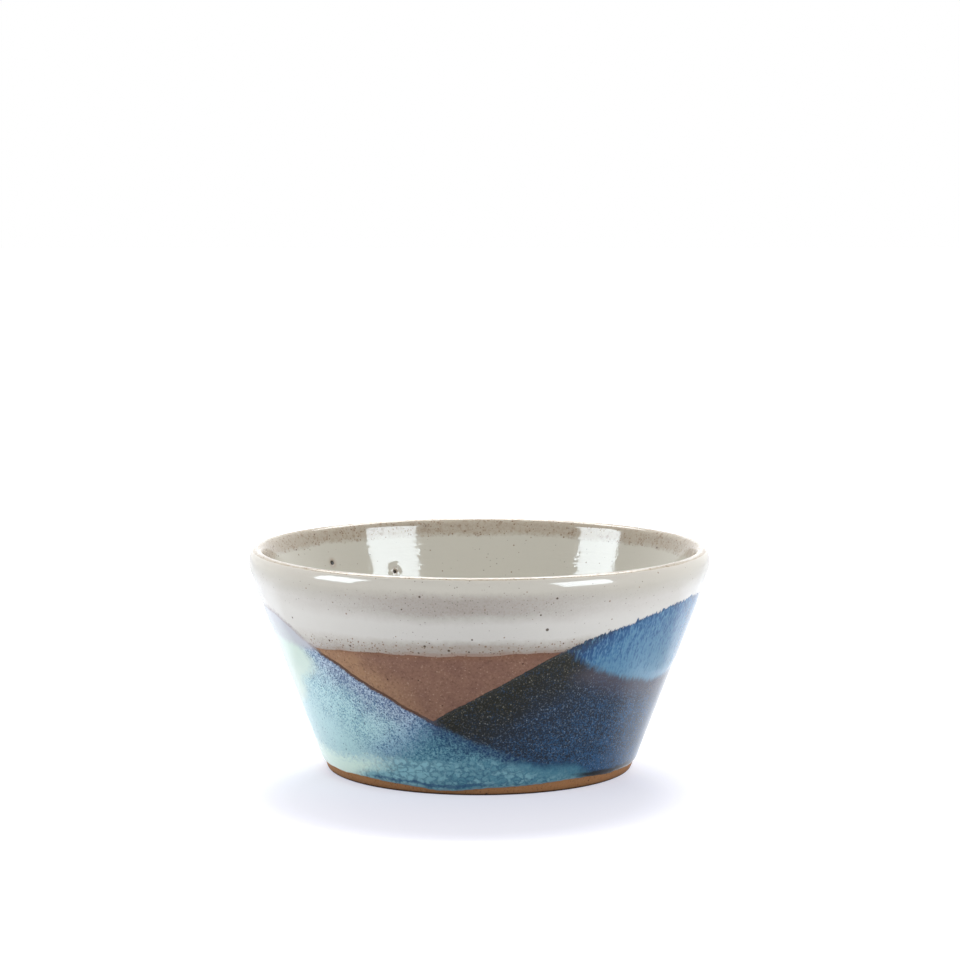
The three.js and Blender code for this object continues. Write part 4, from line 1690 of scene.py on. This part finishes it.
def floor_material(studio):
    """A pale floor that the camera sees as white, with the bowl's shadow on it."""
    material, bench, shader = new_material("studio_floor")
    bench.tree.nodes.remove(shader)
    surface = bench.node("ShaderNodeBsdfDiffuse")
    rays = bench.node("ShaderNodeLightPath").outputs
    shown = bench.mix(rays["Is Diffuse Ray"], paint(studio.floor_colour), paint(studio.floor_bounce))
    bench.join(surface.inputs["Color"], shown)
    mirrored = bench.most(rays["Is Glossy Ray"], rays["Is Transmission Ray"])
    place = bench.place()
    axes = bench.node("ShaderNodeSeparateXYZ")
    bench.join(axes.inputs[0], place)
    ahead = axes.outputs["Y"]
    aside = bench.math("ABSOLUTE", axes.outputs["X"])
    outer = bench.times(bench.span(aside, *SWEEP_SIDES), bench.span(ahead, *SWEEP_AHEAD))
    inner = bench.span(outer, 0.0, 1.0, 1.0, SWEEP_LEFT_OVER)
    behind = bench.times(bench.span(ahead, *SWEEP_BEHIND), inner)
    sweep = bench.times(bench.times(behind, mirrored), studio.sweep_gleam)
    wings = bench.times(bench.span(aside, *BOUNCE_SIDES), studio.side_bounce)
    wings = bench.times(wings, rays["Is Diffuse Ray"])
    glow = bench.node("ShaderNodeEmission")
    shadow_centre = (-studio.shadow_aside / MM, -studio.shadow_ahead / MM, 0)
    away = bench.distance(place, shadow_centre)
    past_shadow = bench.times(bench.span(away, *SHADOW_EDGE), studio.shadow_lift)
    far_off = bench.times(bench.span(away, *FAR_FLOOR), studio.far_lift)
    paler = bench.times(bench.add(past_shadow, far_off), rays["Is Camera Ray"])
    lift = bench.mix(rays["Is Camera Ray"], (0, 0, 0, 1), paint(studio.floor_lift))
    tinted = bench.node("ShaderNodeVectorMath", operation="MULTIPLY_ADD")
    bench.join(tinted.inputs[0], sweep)
    bench.join(tinted.inputs[1], paint(studio.sweep_tint)[:3])
    bench.join(tinted.inputs[2], lift)
    added = bench.node("ShaderNodeVectorMath", operation="ADD")
    bench.join(added.inputs[0], tinted.outputs[0])
    bench.join(added.inputs[1], bench.add(wings, paler))
    bench.join(glow.inputs["Color"], added.outputs[0])
    both = bench.node("ShaderNodeAddShader")
    bench.join(both.inputs[0], surface.outputs[0])
    bench.join(both.inputs[1], glow.outputs[0])
    bench.join(bench.tree.nodes["Material Output"].inputs["Surface"], both.outputs[0])
    return material


class BOWL_OT_set_studio(bpy.types.Operator):
    """Set the floor, the light and the camera"""

    bl_idname = "bowl.set_studio"
    bl_label = "Set the studio"

    def execute(self, context):
        scene = context.scene
        studio = scene.bowl_studio
        clear_selection()
        bpy.ops.mesh.primitive_plane_add(size=studio.floor_size)
        floor = context.active_object
        floor.name = "studio_floor"
        floor.data.materials.append(floor_material(studio))
        self.light(scene, studio)
        bpy.ops.object.camera_add(
            location=(studio.camera_aside, -studio.camera_distance, studio.camera_height),
            rotation=(math.pi / 2 - studio.camera_pitch, 0, 0),
        )
        camera = context.active_object
        camera.name = "studio_camera"
        camera.data.lens = studio.lens
        camera.data.sensor_width = SENSOR_WIDTH
        scene.camera = camera
        scene.view_settings.view_transform = "Standard"
        return {"FINISHED"}

    def light(self, scene, studio):
        """Even light all round, soft lamps in front, one above and behind the bowl."""
        middle = (0, 0, scene.bowl_form.height / 2)
        right = ("right", studio.right_box, studio.right_power, studio.right_gleam)
        left = ("left", studio.left_box, studio.left_power, studio.left_gleam)
        for name, turn, power, gleam_width in (right, left):
            place = lamp_place(studio.box_turn * turn, studio.box_lift, studio.box_distance)
            size = (studio.box_width, studio.box_height)
            lamp = soft_lamp("soft_lamp_" + name, place, middle, *size, power)
            lamp.visible_glossy = False
            place = lamp_place(turn, studio.gleam_lift, studio.gleam_distance)
            power = studio.gleam_power * gleam_width / studio.right_gleam
            size = (gleam_width, studio.gleam_height)
            gleam = soft_lamp("gleam_" + name, place, middle, *size, power)
            gleam.data.color = paint(studio.gleam_tint)[:3]
            gleam.visible_diffuse = False
        above = lamp_place(math.pi, studio.top_lift, studio.top_distance)
        size = (studio.top_width, studio.top_depth)
        lamp = soft_lamp("top_lamp", above, middle, *size, studio.top_power)
        lamp.visible_glossy = False
        nearer = lamp_place(math.pi, studio.top_lift, GLEAM_SHARE * studio.top_distance)
        gleam = soft_lamp("top_gleam", nearer, middle, *size, studio.top_gleam)
        gleam.visible_diffuse = False
        world = bpy.data.worlds.new("studio_surroundings")
        world.use_nodes = True
        scene.world = world
        bench = Bench(world.node_tree)
        rays = bench.node("ShaderNodeLightPath").outputs
        mirrored = bench.most(rays["Is Glossy Ray"], rays["Is Transmission Ray"])
        background = world.node_tree.nodes["Background"]
        background.inputs["Color"].default_value = (1, 1, 1, 1)
        axes = bench.node("ShaderNodeSeparateXYZ")
        bench.join(axes.inputs[0], bench.node("ShaderNodeTexCoord").outputs["Generated"])
        shed = bench.span(axes.outputs["Y"], -1.0, 1.0, studio.sky_front, studio.sky_back)
        gleam = bench.times(bench.span(axes.outputs["Y"], 0.0, 0.6, 1.0, studio.sky_gleam), mirrored)
        seen = bench.most(rays["Is Camera Ray"], gleam)
        bench.join(background.inputs["Strength"], bench.most(seen, shed))


# The panel, and making everything in order

PIECE_OPERATORS = (
    BOWL_OT_throw_clay,
    BOWL_OT_lay_white,
    BOWL_OT_lay_pale_blue,
    BOWL_OT_lay_dark,
    BOWL_OT_lay_melts,
    BOWL_OT_set_studio,
)

SETTINGS = {
    "bowl_form": BowlForm,
    "bowl_lines": GlazeLines,
    "bowl_clay": ClayColours,
    "bowl_white": WhiteColours,
    "bowl_blue": BlueColours,
    "bowl_dark": DarkColours,
    "bowl_studio": StudioSettings,
}


class BOWL_PT_panel(bpy.types.Panel):
    """The steps of making the bowl, and its settings"""

    bl_idname = "BOWL_PT_panel"
    bl_label = "Dipped Stoneware Bowl"
    bl_space_type = "VIEW_3D"
    bl_region_type = "UI"
    bl_category = "Bowl"

    def draw(self, context):
        for step in PIECE_OPERATORS:
            self.layout.operator(step.bl_idname)
        for name, kind in SETTINGS.items():
            column = self.layout.column()
            for setting in kind.__annotations__:
                column.prop(getattr(context.scene, name), setting)


def register():
    for kind in (*SETTINGS.values(), *PIECE_OPERATORS, BOWL_PT_panel):
        bpy.utils.register_class(kind)
    for name, kind in SETTINGS.items():
        setattr(bpy.types.Scene, name, PointerProperty(type=kind))


def unregister():
    for name in SETTINGS:
        delattr(bpy.types.Scene, name)
    for kind in (BOWL_PT_panel, *PIECE_OPERATORS, *SETTINGS.values()):
        bpy.utils.unregister_class(kind)


def main():
    register()
    bpy.ops.bowl.throw_clay()
    bpy.ops.bowl.lay_white()
    bpy.ops.bowl.lay_pale_blue()
    bpy.ops.bowl.lay_dark()
    bpy.ops.bowl.lay_melts()
    bpy.ops.bowl.set_studio()


if __name__ == "__main__":
    main()
